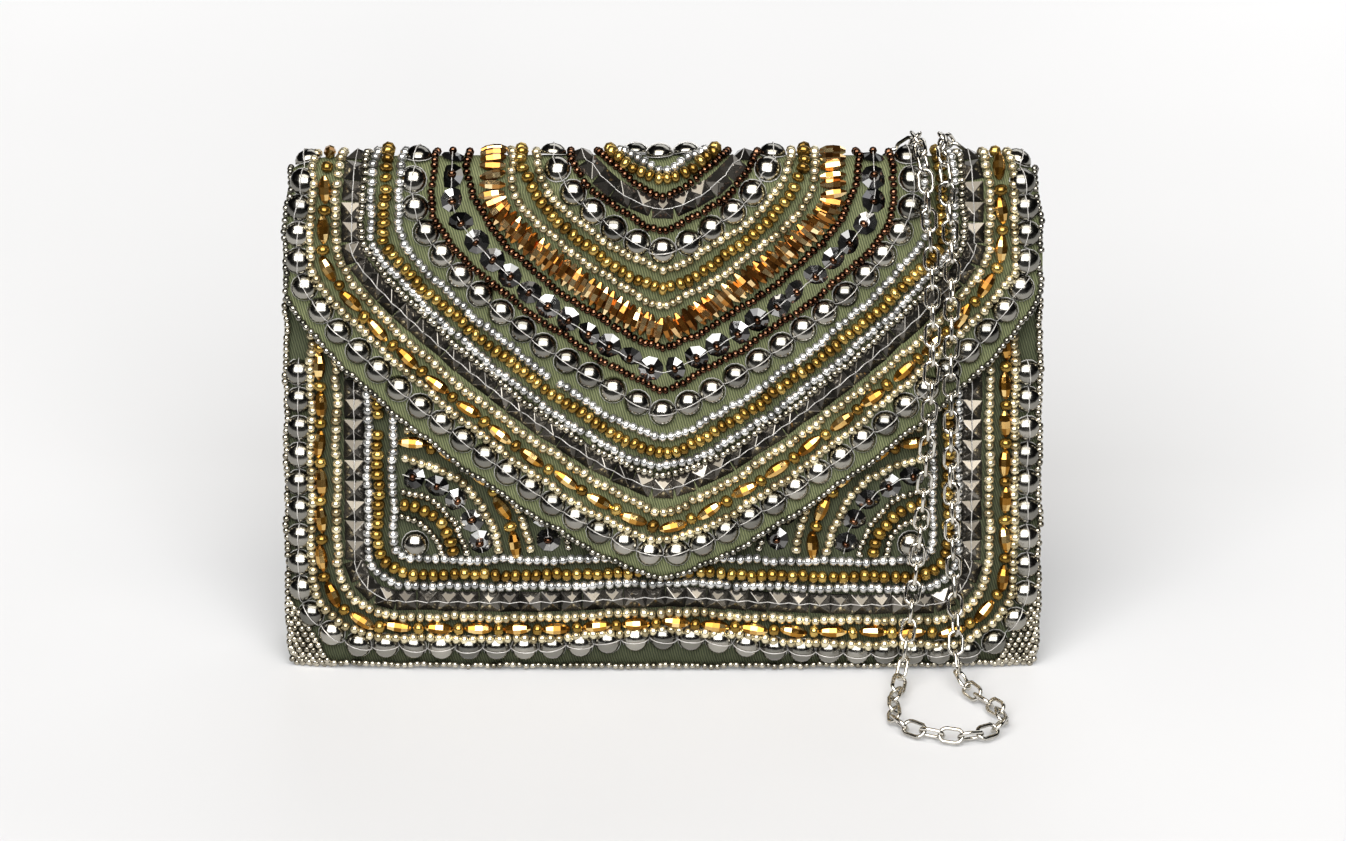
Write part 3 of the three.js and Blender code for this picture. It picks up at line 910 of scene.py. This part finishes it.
# %% Sewing function
RICE_STEP, DROP_PITCH, STUD_PITCH, SEQUIN_PITCH = 13.6, 2.75, 7.05, 8.3
BEAD_LOSS, BEAD_SPREAD, BEAD_FILL, BEAD_LIFT = 0.004, 0.05, 0.95, 0.46
RICE_LIFT, CENTRE_LIFT = 1.9, 1.2
DROP_LIFT, DROP_LIFT_SPREAD = 1.7, 0.4
DROP_SLANT, DROP_SLANT_SPREAD = 8, 3
STUD_ARCH = [(-3.4, 0.9), (0, 3.0), (3.4, 0.9)]
SEQUIN_ARCH = [(-3.7, 0.9), (0, 3.0), (3.7, 0.9)]
Wave = namedtuple("Wave", "wide long")
WAVER = [Wave(0.3, 4.3), Wave(0.2, 1.7)]
Play = namedtuple("Play", "shift tilt")
PLAY = {
    "seed": Play(0.12, 9),
    "rice": Play(0.2, 5),
    "drop": Play(0.12, 3),
    "pyr": Play(0.12, 2.5),
    "sequin": Play(0.2, 9),
    "dome": Play(0.1, 4.5),
    "stitch": Play(0.06, 2),
}


def sew_round(kind, frames):
    """Beads that nearly touch along the thread. A few are lost."""
    bead = BEADS[kind]
    for matrix in frames:
        if rng.uniform() < BEAD_LOSS:
            continue
        across = bead.across * rng.normal(1, BEAD_SPREAD)
        along = bead.pitch * rng.normal(BEAD_FILL, BEAD_SPREAD)
        size = Matrix.Diagonal((along, across, across, 1))
        sewn[bead.finish].append(nudged(matrix, *PLAY["seed"], BEAD_LIFT * across) @ size)


def thread_over(frames, arch):
    """Line of the clear thread: down between the stones and up over each of them, by an arch of x and z."""
    thread_lines.append([matrix @ Vector((x, 0, z)) for matrix in frames for x, z in arch])


def waver(frames, pitch):
    """The same seats with the slow sideways waver of a string that is sewn by hand."""
    starts = rng.uniform(0, 2 * math.pi, len(WAVER))
    for i, matrix in enumerate(frames):
        aside = sum(w.wide * math.sin(i * pitch / w.long + start) for w, start in zip(WAVER, starts))
        yield matrix @ Matrix.Translation((0, aside, 0))


def sew(kind, surface, path, keep=lambda point: True):
    """Sew one row, leaving out what keep() refuses."""

    def stops(pitch):
        return [m for m in stops_on(surface, path, pitch) if keep(m.translation)]

    if kind in BEADS:
        pitch = BEADS[kind].pitch
        frames = waver(stops_on(surface, path, pitch), pitch)
        sew_round(kind, [m for m in frames if keep(m.translation)])
    elif kind == "rice":
        frames = stops(RICE_STEP / 2)
        rice_crystals.extend(nudged(m, *PLAY["rice"], RICE_LIFT) for m in frames[::2])
        sew_round("big_gold", frames[1::2])
    elif kind == "drop":
        for m in stops(DROP_PITCH):
            slant = math.radians(rng.normal(DROP_SLANT, DROP_SLANT_SPREAD))
            crosswise = Matrix.Rotation(math.pi / 2 + slant, 4, "Z")
            turned = Matrix.Rotation(rng.uniform(0, math.pi), 4, "X")
            lift = DROP_LIFT + rng.uniform(0, DROP_LIFT_SPREAD)
            drop_crystals.append(nudged(m, *PLAY["drop"], lift) @ crosswise @ turned)
    elif kind == "pyr":
        frames = stops(STUD_PITCH)
        studs.extend(nudged(m, *PLAY["pyr"]) for m in frames)
        thread_over(frames, STUD_ARCH)
    elif kind == "sequin":
        frames = stops(SEQUIN_PITCH)
        sequins.extend(nudged(m, *PLAY["sequin"]) for m in frames)
        sew_round("brown", [m @ Matrix.Translation((0, 0, CENTRE_LIFT)) for m in frames])
        thread_over(frames, SEQUIN_ARCH)


print("ready to sew")

# %% [markdown]
# ## Rows of the flap
# The table gives each row's kind, its half width and where its shoulder and its point lie, measured down
# from the fold. All rows run a little way over the fold, so that they meet the top edge as sewn rows do.

# %% Flap rows
FLAP_ROWS = [
    FlapRow("champ", 120, 41.5, 7, 28.5, 133, 2.5),
    FlapRow("rice", 115.5, 35.5, 19, 20.5, 128.5, 2.5),
    FlapRow("champ", 111.5, 32, 23.5, 14, 123.5, 2.5),
    FlapRow("pyr", 106, 34, 12, 21, 115.5, 2.5),
    FlapRow("tiny", 102.5, 30.5, 10.5, 26, 110.5, 2.5),
    FlapRow("silver", 99.5, 30, 10, 24.5, 107.5, 2.5),
    FlapRow("gold", 95, 31, 8.5, 18, 103, 2),
    FlapRow("silver", 90, 27, 12.5, 18.5, 97.5, 2),
    FlapRow("brown", 78.5, 20, 19, 6.5, 81.5, 1),
    FlapRow("sequin", 72, 15.5, 21, 7.5, 75.5, 0.5),
    FlapRow("brown", 66.5, 6.5, 30, 4.5, 67.5, 0.5),
    FlapRow("drop", 58, 16.5, 8.5, 9, 61, 0),
    FlapRow("small_champ", 51.5, 11, 14, 5, 53, 0),
    FlapRow("gold", 48, 4, 16.5, 8.5, 47, 0),
    FlapRow("small_champ", 43.5, 2, 21, 1.5, 41, 0),
    FlapRow("brown", 32, 0.5, 12.5, 4.5, 27.5, 0),
    FlapRow("pyr", 28, -0.5, 6.5, 10.5, 20, 0),
    FlapRow("brown", 22, -2, 6, 7.5, 15.5, 0),
    FlapRow("gold", 18, -1, 4, 7.5, 11, 0),
    FlapRow("silver", 14.5, -0.5, 1.5, 2, 8.5, 0),
]
FLAP_HEM = FLAP_EDGE._replace(kind="hem", half_width=128.6, tip=146.2)
ROW_END, HEM_SINK = -3, 0.5


def hem_point(x, height, out):
    return flap_point(x, height, out - HEM_SINK)


for row in FLAP_ROWS:
    sew(row.kind, flap_point, flap_path(row, ROW_END))
sew(FLAP_HEM.kind, hem_point, flap_path(FLAP_HEM, ROW_END))
print("flap rows sewn,", sum(len(v) for v in sewn.values()), "round beads so far")

# %% [markdown]
# ## Rows of the front
# The front has a border of the same kinds in a U. Its beads stop a little way under the flap, where they
# can't be seen. In each lower corner a fan of quarter circles opens towards the middle of the bag.

# %% Front rows and corner fans
FRONT_ROWS = [
    FrontRow("big_champ", 120.2, 12.6, 22),
    FrontRow("rice", 117.0, 15.6, 23),
    FrontRow("big_champ", 111.6, 19.5, 20),
    FrontRow("pyr", 105.6, 25.0, 15),
    FrontRow("big_silver", 100.8, 30.8, 12),
    FrontRow("big_gold", 97.5, 34.8, 11),
    FrontRow("big_silver", 92.4, 40.0, 7),
]
FRONT_EDGE = FrontRow("edge", 128.7, 5.4, 6)
FRONT_ROW_TOP, UNDER_FLAP = 130, 7
FAN_X, FAN_HEIGHT = 91.2, 40.2
FAN = [
    ("tiny", 15.0),
    ("big_gold", 19.6),
    ("tiny", 23.5),
    ("sequin", 29.2),
    ("champ", 34.8),
    ("rice", 40.8),
    ("champ", 45.6),
    ("sequin", 52.5),
    ("tiny", 58.5),
]
FAN_START, FAN_END = math.radians(3), math.radians(87)


def shown_below_flap(point):
    return point.z < flap_edge_height(point.x) + UNDER_FLAP


for row in FRONT_ROWS:
    sew(row.kind, front_row_point, front_path(row, FRONT_ROW_TOP), shown_below_flap)
sew(FRONT_EDGE.kind, front_point, front_path(FRONT_EDGE, FRONT_ROW_TOP), shown_below_flap)
for side in (-1, 1):
    for kind, radius in FAN:
        ends = [math.pi / 2 + side * angle for angle in (FAN_START, FAN_END)]
        quarter = arc(FAN_X * side, FAN_HEIGHT, radius, *ends)
        sew(kind, front_row_point, quarter, shown_below_flap)
print("front sewn,", sum(len(v) for v in sewn.values()), "round beads in all")

# %% [markdown]
# ## Corner guards
# The two lower corners, which wear first, are covered by a triangle of tiny beads in close slanting rows.
# They are laid line by line, each a bead's width nearer to the corner and shorter than the one before.

# %% Corner guards
GUARD_WIDE, GUARD_TALL, GUARD_STEP, GUARD_PITCH = 14.5, 21.0, 2.1, 2.15
GUARD_X, GUARD_SIDE_FOOT, GUARD_BASE = 128.3, 3.0, 3.6

guard_lines = round(GUARD_WIDE * GUARD_TALL / math.hypot(GUARD_WIDE, GUARD_TALL) / GUARD_STEP)
for side in (-1, 1):
    for line in range(guard_lines):
        share = 1 - line / guard_lines
        start = (side * GUARD_X, GUARD_SIDE_FOOT + GUARD_TALL * share)
        end = (side * (GUARD_X - GUARD_WIDE * share), GUARD_BASE)
        sew_round("edge", stops_on(front_point, [start, end], GUARD_PITCH))
print("guards of", guard_lines, "lines each")

# %% [markdown]
# ## Seam of the back
# The back has no beads. Its edge is held down by one row of stitches in a thread a little paler than the
# cloth. A stitch is a seed bead drawn out long and thin, half sunk into the twill.

# %% Stitches
STITCH_PITCH, STITCH_LONG, STITCH_WIDE, STITCH_LIFT = 3.3, 2.5, 0.7, 0.12
STITCH_ROW, STITCH_TOP = FrontRow("stitch", 125.2, 7.0, 9), 165

stitch_size = Matrix.Diagonal((STITCH_LONG, STITCH_WIDE, STITCH_WIDE, 1))
stitches = []
for matrix in stops_on(back_point, front_path(STITCH_ROW, STITCH_TOP), STITCH_PITCH):
    stitches.append(nudged(matrix, *PLAY["stitch"], STITCH_LIFT) @ stitch_size)
join_copies("seam_stitches", seed, stitches, "stitch")
print("stitches", len(stitches))

# %% [markdown]
# ## Pieces from the seats
# Every kind of bead now becomes one piece.

# %% Beads and stones as pieces
for finish, frames in sewn.items():
    join_copies(f"{finish}_beads", seed, frames, finish)
join_copies("smoke_studs", stud, studs, "smoke", facet_spread=0.6)
join_copies("hematite_sequins", sequin, sequins, "hematite", facet_spread=0.6)
join_copies("amber_rice", rice, rice_crystals, "amber", facet_spread=0.8)
join_copies("copper_drops", drop, drop_crystals, "copper_cut", facet_spread=0.8)
print("studs", len(studs), "sequins", len(sequins), "crystals", len(rice_crystals) + len(drop_crystals))

# %% [markdown]
# ## Mirrored domes
# The domes are the most striking beads, so the frame already has its three long rows and the two in the
# corners. Each is replaced by rows of finer domes in exactly the same places. A small random tilt makes
# each dome catch the light differently. The short rows near the middle of the fold are added here.

# %% Domes
FLAP_BORDER = FlapRow("dome", 124.2, 41.7, 19.2, 22.7, 138.5, 2.4)
FLAP_MIDDLE = FlapRow("dome", 85.1, 15.5, 27, 9.5, 89.4, 1.5)
FLAP_INNER = FlapRow("dome", 37.5, 2, 12, 10, 34.5, 0)
DOME_PITCH, DOME_START, INNER_START = 9.4, 1.5, -1.5
FRONT_BORDER = FrontRow("dome", 124.6, 10.2, 20)
FRONT_DOME_TOP, FRONT_DOMES = 104, 45
FOLD_DOMES = ((-9.5, 185), (-1.2, 183), (8, 185))
CORNER_DOME = (84.9, 45.3)
SIDES = ((-1, "left"), (1, "right"))
SIDEWAYS = Vector((1, 0, 0))
THREAD_GAP = 0.2
THREAD_ANGLES = (4, 22, 44, 67, 90, 113, 136, 158, 176)

arch_reach, arch_rise = DOME_RADIUS + THREAD_GAP, DOME_TOP + THREAD_GAP - DOME_BASE
arch_turns = [math.radians(180 - angle) for angle in THREAD_ANGLES]
dome_arch = [(arch_reach * math.cos(a), DOME_BASE + arch_rise * math.sin(a)) for a in arch_turns]
rims = []


def dome_row(name, frames, node=None):
    tilted = [nudged(matrix, *PLAY["dome"]) for matrix in frames]
    rims.extend(tilted)
    piece = join_copies(name, dome, tilted, "mirror")
    if node:
        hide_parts(node)
    if len(frames) > 1:
        thread_over(tilted, dome_arch)


def flap_dome_stops(row, start=DOME_START):
    path = flap_path(row, start)
    length = sum(math.dist(a, b) for a, b in zip(path, path[1:]))
    return counted_stops(flap_point, path, round(length / DOME_PITCH) + 1)


dome_row("border_mirrors", flap_dome_stops(FLAP_BORDER), "flap_border_domes")
dome_row("middle_mirrors", flap_dome_stops(FLAP_MIDDLE), "flap_middle_domes")
dome_row("inner_mirrors", flap_dome_stops(FLAP_INNER, INNER_START))
dome_row("fold_mirrors", [frame_at(flap_point, x, height, SIDEWAYS) for x, height in FOLD_DOMES])
front_stops = counted_stops(front_row_point, front_path(FRONT_BORDER, FRONT_DOME_TOP), FRONT_DOMES)
dome_row("front_mirrors", front_stops, "front_border_domes")
for side, name in SIDES:
    place = frame_at(front_point, side * CORNER_DOME[0], CORNER_DOME[1], SIDEWAYS)
    dome_row(f"corner_mirror_{name}", [place], f"corner_dome_{name}")
print("dome rows placed")

# %% [markdown]
# ## Clear thread
# Studs, domes and sequins are held down by a clear nylon thread that shows as a fine bright line. A curve
# with a round bevel is the quickest way to make it, and it is turned into a mesh at once. The thin rims of
# the domes are just as clear, so they share the material.

# %% Thread
THREAD = 0.2


def strand(name, lines, thickness, material):
    """A mesh of thin round strands through the lines."""
    curve = bpy.data.curves.new(name, "CURVE")
    curve.dimensions = "3D"
    curve.bevel_depth = thickness * MM
    curve.bevel_resolution = 0
    for line in lines:
        if len(line) < 2:
            continue
        spline = curve.splines.new("POLY")
        spline.points.add(len(line) - 1)
        for point, place in zip(spline.points, line):
            point.co = (*(place * MM), 1)
    holder = placed(name, curve)
    depsgraph = bpy.context.evaluated_depsgraph_get()
    mesh = bpy.data.meshes.new_from_object(holder.evaluated_get(depsgraph))
    bpy.data.objects.remove(holder)
    mesh.name = name
    keep_piece(mesh, name, material)


HAZE, CLEAREST = (0.66, 0.64, 0.62), (0.92, 0.9, 0.87)
clear_nylon, nodes, links, shader = mottled("clear_nylon", HAZE, CLEAREST, scale=300, roughness=0.18)
set_inputs(shader, Transmission_Weight=0.6)
FINISHES["clear"] = clear_nylon
strand("clear_thread", thread_lines, THREAD, clear_nylon)
join_copies("clear_rims", rim, rims, "clear")
print("thread lines", len(thread_lines))

# %% [markdown]
# ## Chain strap
# The strap is a cable chain: oval wire links, each turned a quarter round from the last. The frame has its
# path as a round tube. The same places are joined by the same smooth curve, and links are set along it.
# At each place the side that faces away from the bag is known, so the chain doesn't twist.

# %% Path of the chain
CHAIN_OUT, FOLD_OUT, BACK_OUT = 7.3, 6.0, 3.3
FLOOR_Z, LANDING_Z = 3.3, 6.3
RING_X, RING_HEIGHT = 118, 160
END_ASIDE, END_RISE = 4.48, 3.36
BACK_RUN = ((-92, 146), (-45, 136), (10, 141), (60, 160))
FOLD_OVER = ((85, 0.78), (86.4, 0.56), (87.6, 0.36))
FLAP_DOWN = ((88.6, 174), (91, 150), (91.3, 120), (90.5, 98))
FRONT_DOWN = ((88, 55), (85, 28))
LANDING, TAKE_OFF = (81.5, -33), (101.5, -33)
FLOOR_LOOP = ((78.5, -48), (79.5, -62), (88, -69), (103, -72), (113, -65), (114, -54), (107, -43))
FRONT_UP = ((99.6, 28), (98.4, 55))
FLAP_UP = ((97.6, 103), (97.8, 125), (97.8, 150), (95.6, 174))
FOLD_BACK = ((95, 0.36), (96, 0.56), (98, 0.78))


def off(surface, places, distance):
    """Places at one distance from the cloth."""
    seats = [seat(surface, x, height) for x, height in places]
    return [point + out * distance for point, out in seats]


def over_fold(places):
    """Places over the fold, by their share of the way round it."""
    heights = [(x, FOLD_Z + share * fold_length(x)) for x, share in places]
    return off(flap_point, heights, FOLD_OUT)


def ring_end(side):
    """Where the chain meets a ring: below the left one and above the right one."""
    return off(back_point, [(side * (RING_X - END_ASIDE), RING_HEIGHT + side * END_RISE)], BACK_OUT)


route = ring_end(-1) + off(back_point, BACK_RUN, BACK_OUT) + over_fold(FOLD_OVER)
route += off(flap_point, FLAP_DOWN, CHAIN_OUT) + off(front_point, FRONT_DOWN, CHAIN_OUT)
route += [Vector((*LANDING, LANDING_Z))]
route += [Vector((x, y, FLOOR_Z)) for x, y in FLOOR_LOOP]
route += [Vector((*TAKE_OFF, LANDING_Z))]
route += off(front_point, FRONT_UP, CHAIN_OUT) + off(flap_point, FLAP_UP, CHAIN_OUT)
route += over_fold(FOLD_BACK) + ring_end(1)


def smooth_route(places, steps=60):
    """Centripetal curve through the places: it passes each one without loops or overshoot."""
    points = []
    for i in range(len(places) - 1):
        p1, p2 = places[i], places[i + 1]
        p0 = places[i - 1] if i else 2 * p1 - p2
        p3 = places[i + 2] if i + 2 < len(places) else 2 * p2 - p1
        d0, d1, d2 = (math.sqrt((b - a).length) for a, b in ((p0, p1), (p1, p2), (p2, p3)))
        t1 = ((p1 - p0) / d0 - (p2 - p0) / (d0 + d1) + (p2 - p1) / d1) * d1
        t2 = ((p2 - p1) / d1 - (p3 - p1) / (d1 + d2) + (p3 - p2) / d2) * d1
        for s in np.arange(steps) / steps:
            a, b = 2 * s**3 - 3 * s**2 + 1, s**3 - 2 * s**2 + s
            points.append(p1 * a + t1 * b + p2 * (1 - a) + t2 * (s**3 - s**2))
    return np.array([p[:] for p in points + [places[-1]]])


chain_line = smooth_route(route)
chain_run = run_along(chain_line)
print("chain path", round(chain_run[-1]), "mm")

# %% [markdown]
# ## Chain links
# One link is a ring of wire, made by a full spin and then drawn out into an oval by moving its two halves
# apart. On the bag the links lie alternately flat and on edge; on the fold and on the floor they lean both
# ways, as a chain does when it is let down.

# %% Links
LINK_PITCH, LOOK_ALONG = 6.6, 2
LINK_LENGTH, LINK_WIDTH, WIRE = 9.4, 6.3, 1.4
LINK_SIDES, LINK_STEPS = 6, 14
ON_FLOOR_Z, ON_FOLD_Z = 9, 176
LEANING_ROLL, NEXT_ROLL, ROLL_SPREAD = 45, 90, 7


def hoop(radius, wire, sides, steps, start=0.0):
    """A ring of round wire: the wire's section, turned to its start and spun once round."""
    bm = bmesh.new()
    bmesh.ops.create_circle(bm, segments=sides, radius=wire)
    turn_shape(bm, math.pi / 2, "X")
    bmesh.ops.translate(bm, verts=bm.verts, vec=(radius, 0, 0))
    turn_shape(bm, start, "Z")
    return smooth(full_turn(bm, bm.verts[:] + bm.edges[:], (0, 0, 1), steps))


def chain_link():
    bm = hoop((LINK_WIDTH - WIRE) / 2, WIRE / 2, LINK_SIDES, LINK_STEPS, math.pi / LINK_STEPS)
    stretch = (LINK_LENGTH - LINK_WIDTH) / 2
    for vert in bm.verts:
        vert.co.x += math.copysign(stretch, vert.co.x)
    return bm


def away_from_bag(point):
    """Direction from the middle of the bag to a place outside it, square to the width."""
    z = min(point.z, FOLD_Z)
    return Vector((0, point.y - middle_y(z), point.z - z)).normalized()


def link_frames():
    def at(run):
        return Vector(between(chain_line, chain_run, run))

    frames = []
    for i, stop in enumerate(even_stops(chain_run[-1], LINK_PITCH)):
        place = at(stop)
        along = (at(stop + LOOK_ALONG) - at(stop - LOOK_ALONG)).normalized()
        on_floor = place.z < ON_FLOOR_Z
        out = square_to(along, Vector((0, 0, 1)) if on_floor else away_from_bag(place))
        lean = LEANING_ROLL if on_floor or place.z > ON_FOLD_Z else 0
        roll = lean + NEXT_ROLL * (i % 2) + rng.normal(0, ROLL_SPREAD)
        frames.append(frame_from(place, along, out) @ Matrix.Rotation(math.radians(roll), 4, "X"))
    return frames


FINISHES["nickel"] = bead_finish("nickel_wire", [(0.5, 0.48, 0.435), (0.74, 0.71, 0.65)], (0.1, 0.2))
links_at = link_frames()
chain_links = join_copies("chain_links", chain_link(), links_at, "nickel")
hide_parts("chain")
print("links", len(links_at))

# %% [markdown]
# ## Rings and snap
# The chain's ends are held by two wire rings, sewn to the back near its upper corners, and the flap closes
# on a flat magnetic snap between the layers. The rings are made finer than in the frame. The snap keeps
# its shape and gets the nickel finish.

# %% Rings and snap
RING_RADIUS, RING_WIRE, RING_SIDES, RING_STEPS = 4.5, 0.8, 8, 32

wire_ring = hoop(RING_RADIUS, RING_WIRE, RING_SIDES, RING_STEPS)
for side, name in SIDES:
    place = frame_at(back_point, side * RING_X, RING_HEIGHT, SIDEWAYS)
    place = place @ Matrix.Translation((0, 0, CLEAR + RING_WIRE))
    ring = join_copies(f"wire_ring_{name}", wire_ring, [place], "nickel")
    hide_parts(f"strap_ring_{name}")
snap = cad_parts["snap"]
snap.data.materials.clear()
snap.data.materials.append(FINISHES["nickel"])
print("rings and snap done")

# %% [markdown]
# ## Floor and light
# The bag stands on a white table in a dark room. A black card lies on the table in front of it, out of the
# picture: mirrored beads look like metal only when they have something dark to show. From below up the
# domes show a little pale table, the card, the bright soft box, and the dark room. A second, warm box hangs
# higher and lights the upper facets of the studs, and a weak one fills the shade behind. The table glows a
# little towards the back and the sides, as a lit backdrop does, so that it stays white all over the
# picture.

# %% Floor
TABLE_SIDE, TABLE_END = 5.0, 5.0
CARD_EDGE, CARD_HEIGHT = -0.24, 0.001
SOOT, SOOT_PALE = (0.006, 0.006, 0.006), (0.012, 0.012, 0.012)
TABLE, TABLE_PALE = (0.463, 0.465, 0.475), (0.488, 0.49, 0.5)
GLOW_COLOUR = (1, 1, 0.995, 1)
BACK_GLOW_FROM, BACK_GLOW = (CARD_EDGE, 1.5), (0.05, 0.68)
SIDE_GLOW_FROM, SIDE_GLOW = (0.1, 0.28), (0, 0.05)


def table_top(name, side, front, back, height=0.0):
    """A flat rectangle that isn't part of the bag."""
    mesh = bpy.data.meshes.new(name)
    bm = bmesh.new()
    bmesh.ops.create_grid(bm, x_segments=1, y_segments=1, size=1)
    for vert in bm.verts:
        vert.co = (vert.co.x * side, front if vert.co.y < 0 else back, height)
    bm.to_mesh(mesh)
    bm.free()
    flat = placed(name, mesh)
    return flat


floor = table_top("floor", TABLE_SIDE, -TABLE_END, TABLE_END)
black_card = table_top("black_card", TABLE_SIDE, -TABLE_END, CARD_EDGE, CARD_HEIGHT)
# Hidden from the camera, diffuse light and shadows, the card shows only as a dark reflection in the beads.
black_card.visible_camera = False
black_card.visible_diffuse = False
black_card.visible_shadow = False
black_paper = mottled("black_paper", SOOT, SOOT_PALE, scale=200, roughness=0.9)[0]
black_card.data.materials.append(black_paper)
white_table, nodes, links, shader = mottled("white_table", TABLE, TABLE_PALE, scale=3, roughness=0.55)
place = nodes.new("ShaderNodeSeparateXYZ")
links.new(nodes.new("ShaderNodeTexCoord").outputs["Object"], place.inputs["Vector"])
aside = nodes.new("ShaderNodeMath")
aside.operation = "ABSOLUTE"
links.new(place.outputs["X"], aside.inputs[0])
glow = nodes.new("ShaderNodeMath")
links.new(ranged(nodes, links, place.outputs["Y"], BACK_GLOW_FROM, BACK_GLOW), glow.inputs[0])
links.new(ranged(nodes, links, aside.outputs["Value"], SIDE_GLOW_FROM, SIDE_GLOW), glow.inputs[1])
links.new(glow.outputs["Value"], shader.inputs["Emission Strength"])
set_inputs(shader, Emission_Color=GLOW_COLOUR)
floor.data.materials.append(white_table)
print("floor at z = 0")

# %% Lights and world
SoftBox = namedtuple("SoftBox", "name rise aside distance wide tall power colour")
SOFT_BOXES = [
    SoftBox("front_box", 38, -6, 1.7, 2.0, 1.1, 49, (1, 1, 1)),
    SoftBox("top_box", 70, -4, 1.7, 2.0, 0.6, 16, (1, 0.95, 0.87)),
    SoftBox("back_box", 35, 160, 1.9, 2.0, 1.0, 9, (1, 1, 1)),
]
LIT_PLACE = Vector((0, 0, 0.09))
DARK, DIM, WHITE = 0.012, 0.02, 0.78
COOL, WARM = (0.95, 0.97, 1.0), (1, 1, 0.995)


def soft_box(row):
    """A rectangular light aimed at the bag, from an elevation and an angle to the side in degrees."""
    data = bpy.data.lights.new(row.name, "AREA")
    data.shape = "RECTANGLE"
    data.size, data.size_y = row.wide, row.tall
    data.energy = row.power
    data.color = row.colour
    box = placed(row.name, data)
    up, turn = math.radians(row.rise), math.radians(row.aside)
    direction = Vector((math.sin(turn) * math.cos(up), -math.cos(turn) * math.cos(up), math.sin(up)))
    box.location = LIT_PLACE + direction * row.distance
    box.rotation_euler = direction.to_track_quat("Z", "Y").to_euler()
    box.visible_camera = False


for row in SOFT_BOXES:
    soft_box(row)

world = bpy.data.worlds.new("studio")
bpy.context.scene.world = world
world.use_nodes = True
nodes, links = world.node_tree.nodes, world.node_tree.links
light_path = nodes.new("ShaderNodeLightPath")


def room(strength, colour):
    """One tone of the room round the table."""
    background = nodes.new("ShaderNodeBackground")
    set_inputs(background, Color=(*colour, 1), Strength=strength)
    return background.outputs["Background"]


def seen_by(rays, shown, otherwise):
    either = nodes.new("ShaderNodeMixShader")
    links.new(light_path.outputs[rays], either.inputs["Fac"])
    links.new(otherwise, either.inputs[1])
    links.new(shown, either.inputs[2])
    return either.outputs["Shader"]


tones = seen_by("Is Glossy Ray", room(DARK, COOL), room(DIM, COOL))
tones = seen_by("Is Camera Ray", room(WHITE, WARM), tones)
links.new(tones, nodes["World Output"].inputs["Surface"])
bpy.context.scene.view_settings.view_transform = "Standard"
bpy.context.scene.view_settings.look = "Medium High Contrast"
print("three soft boxes in a dark room")
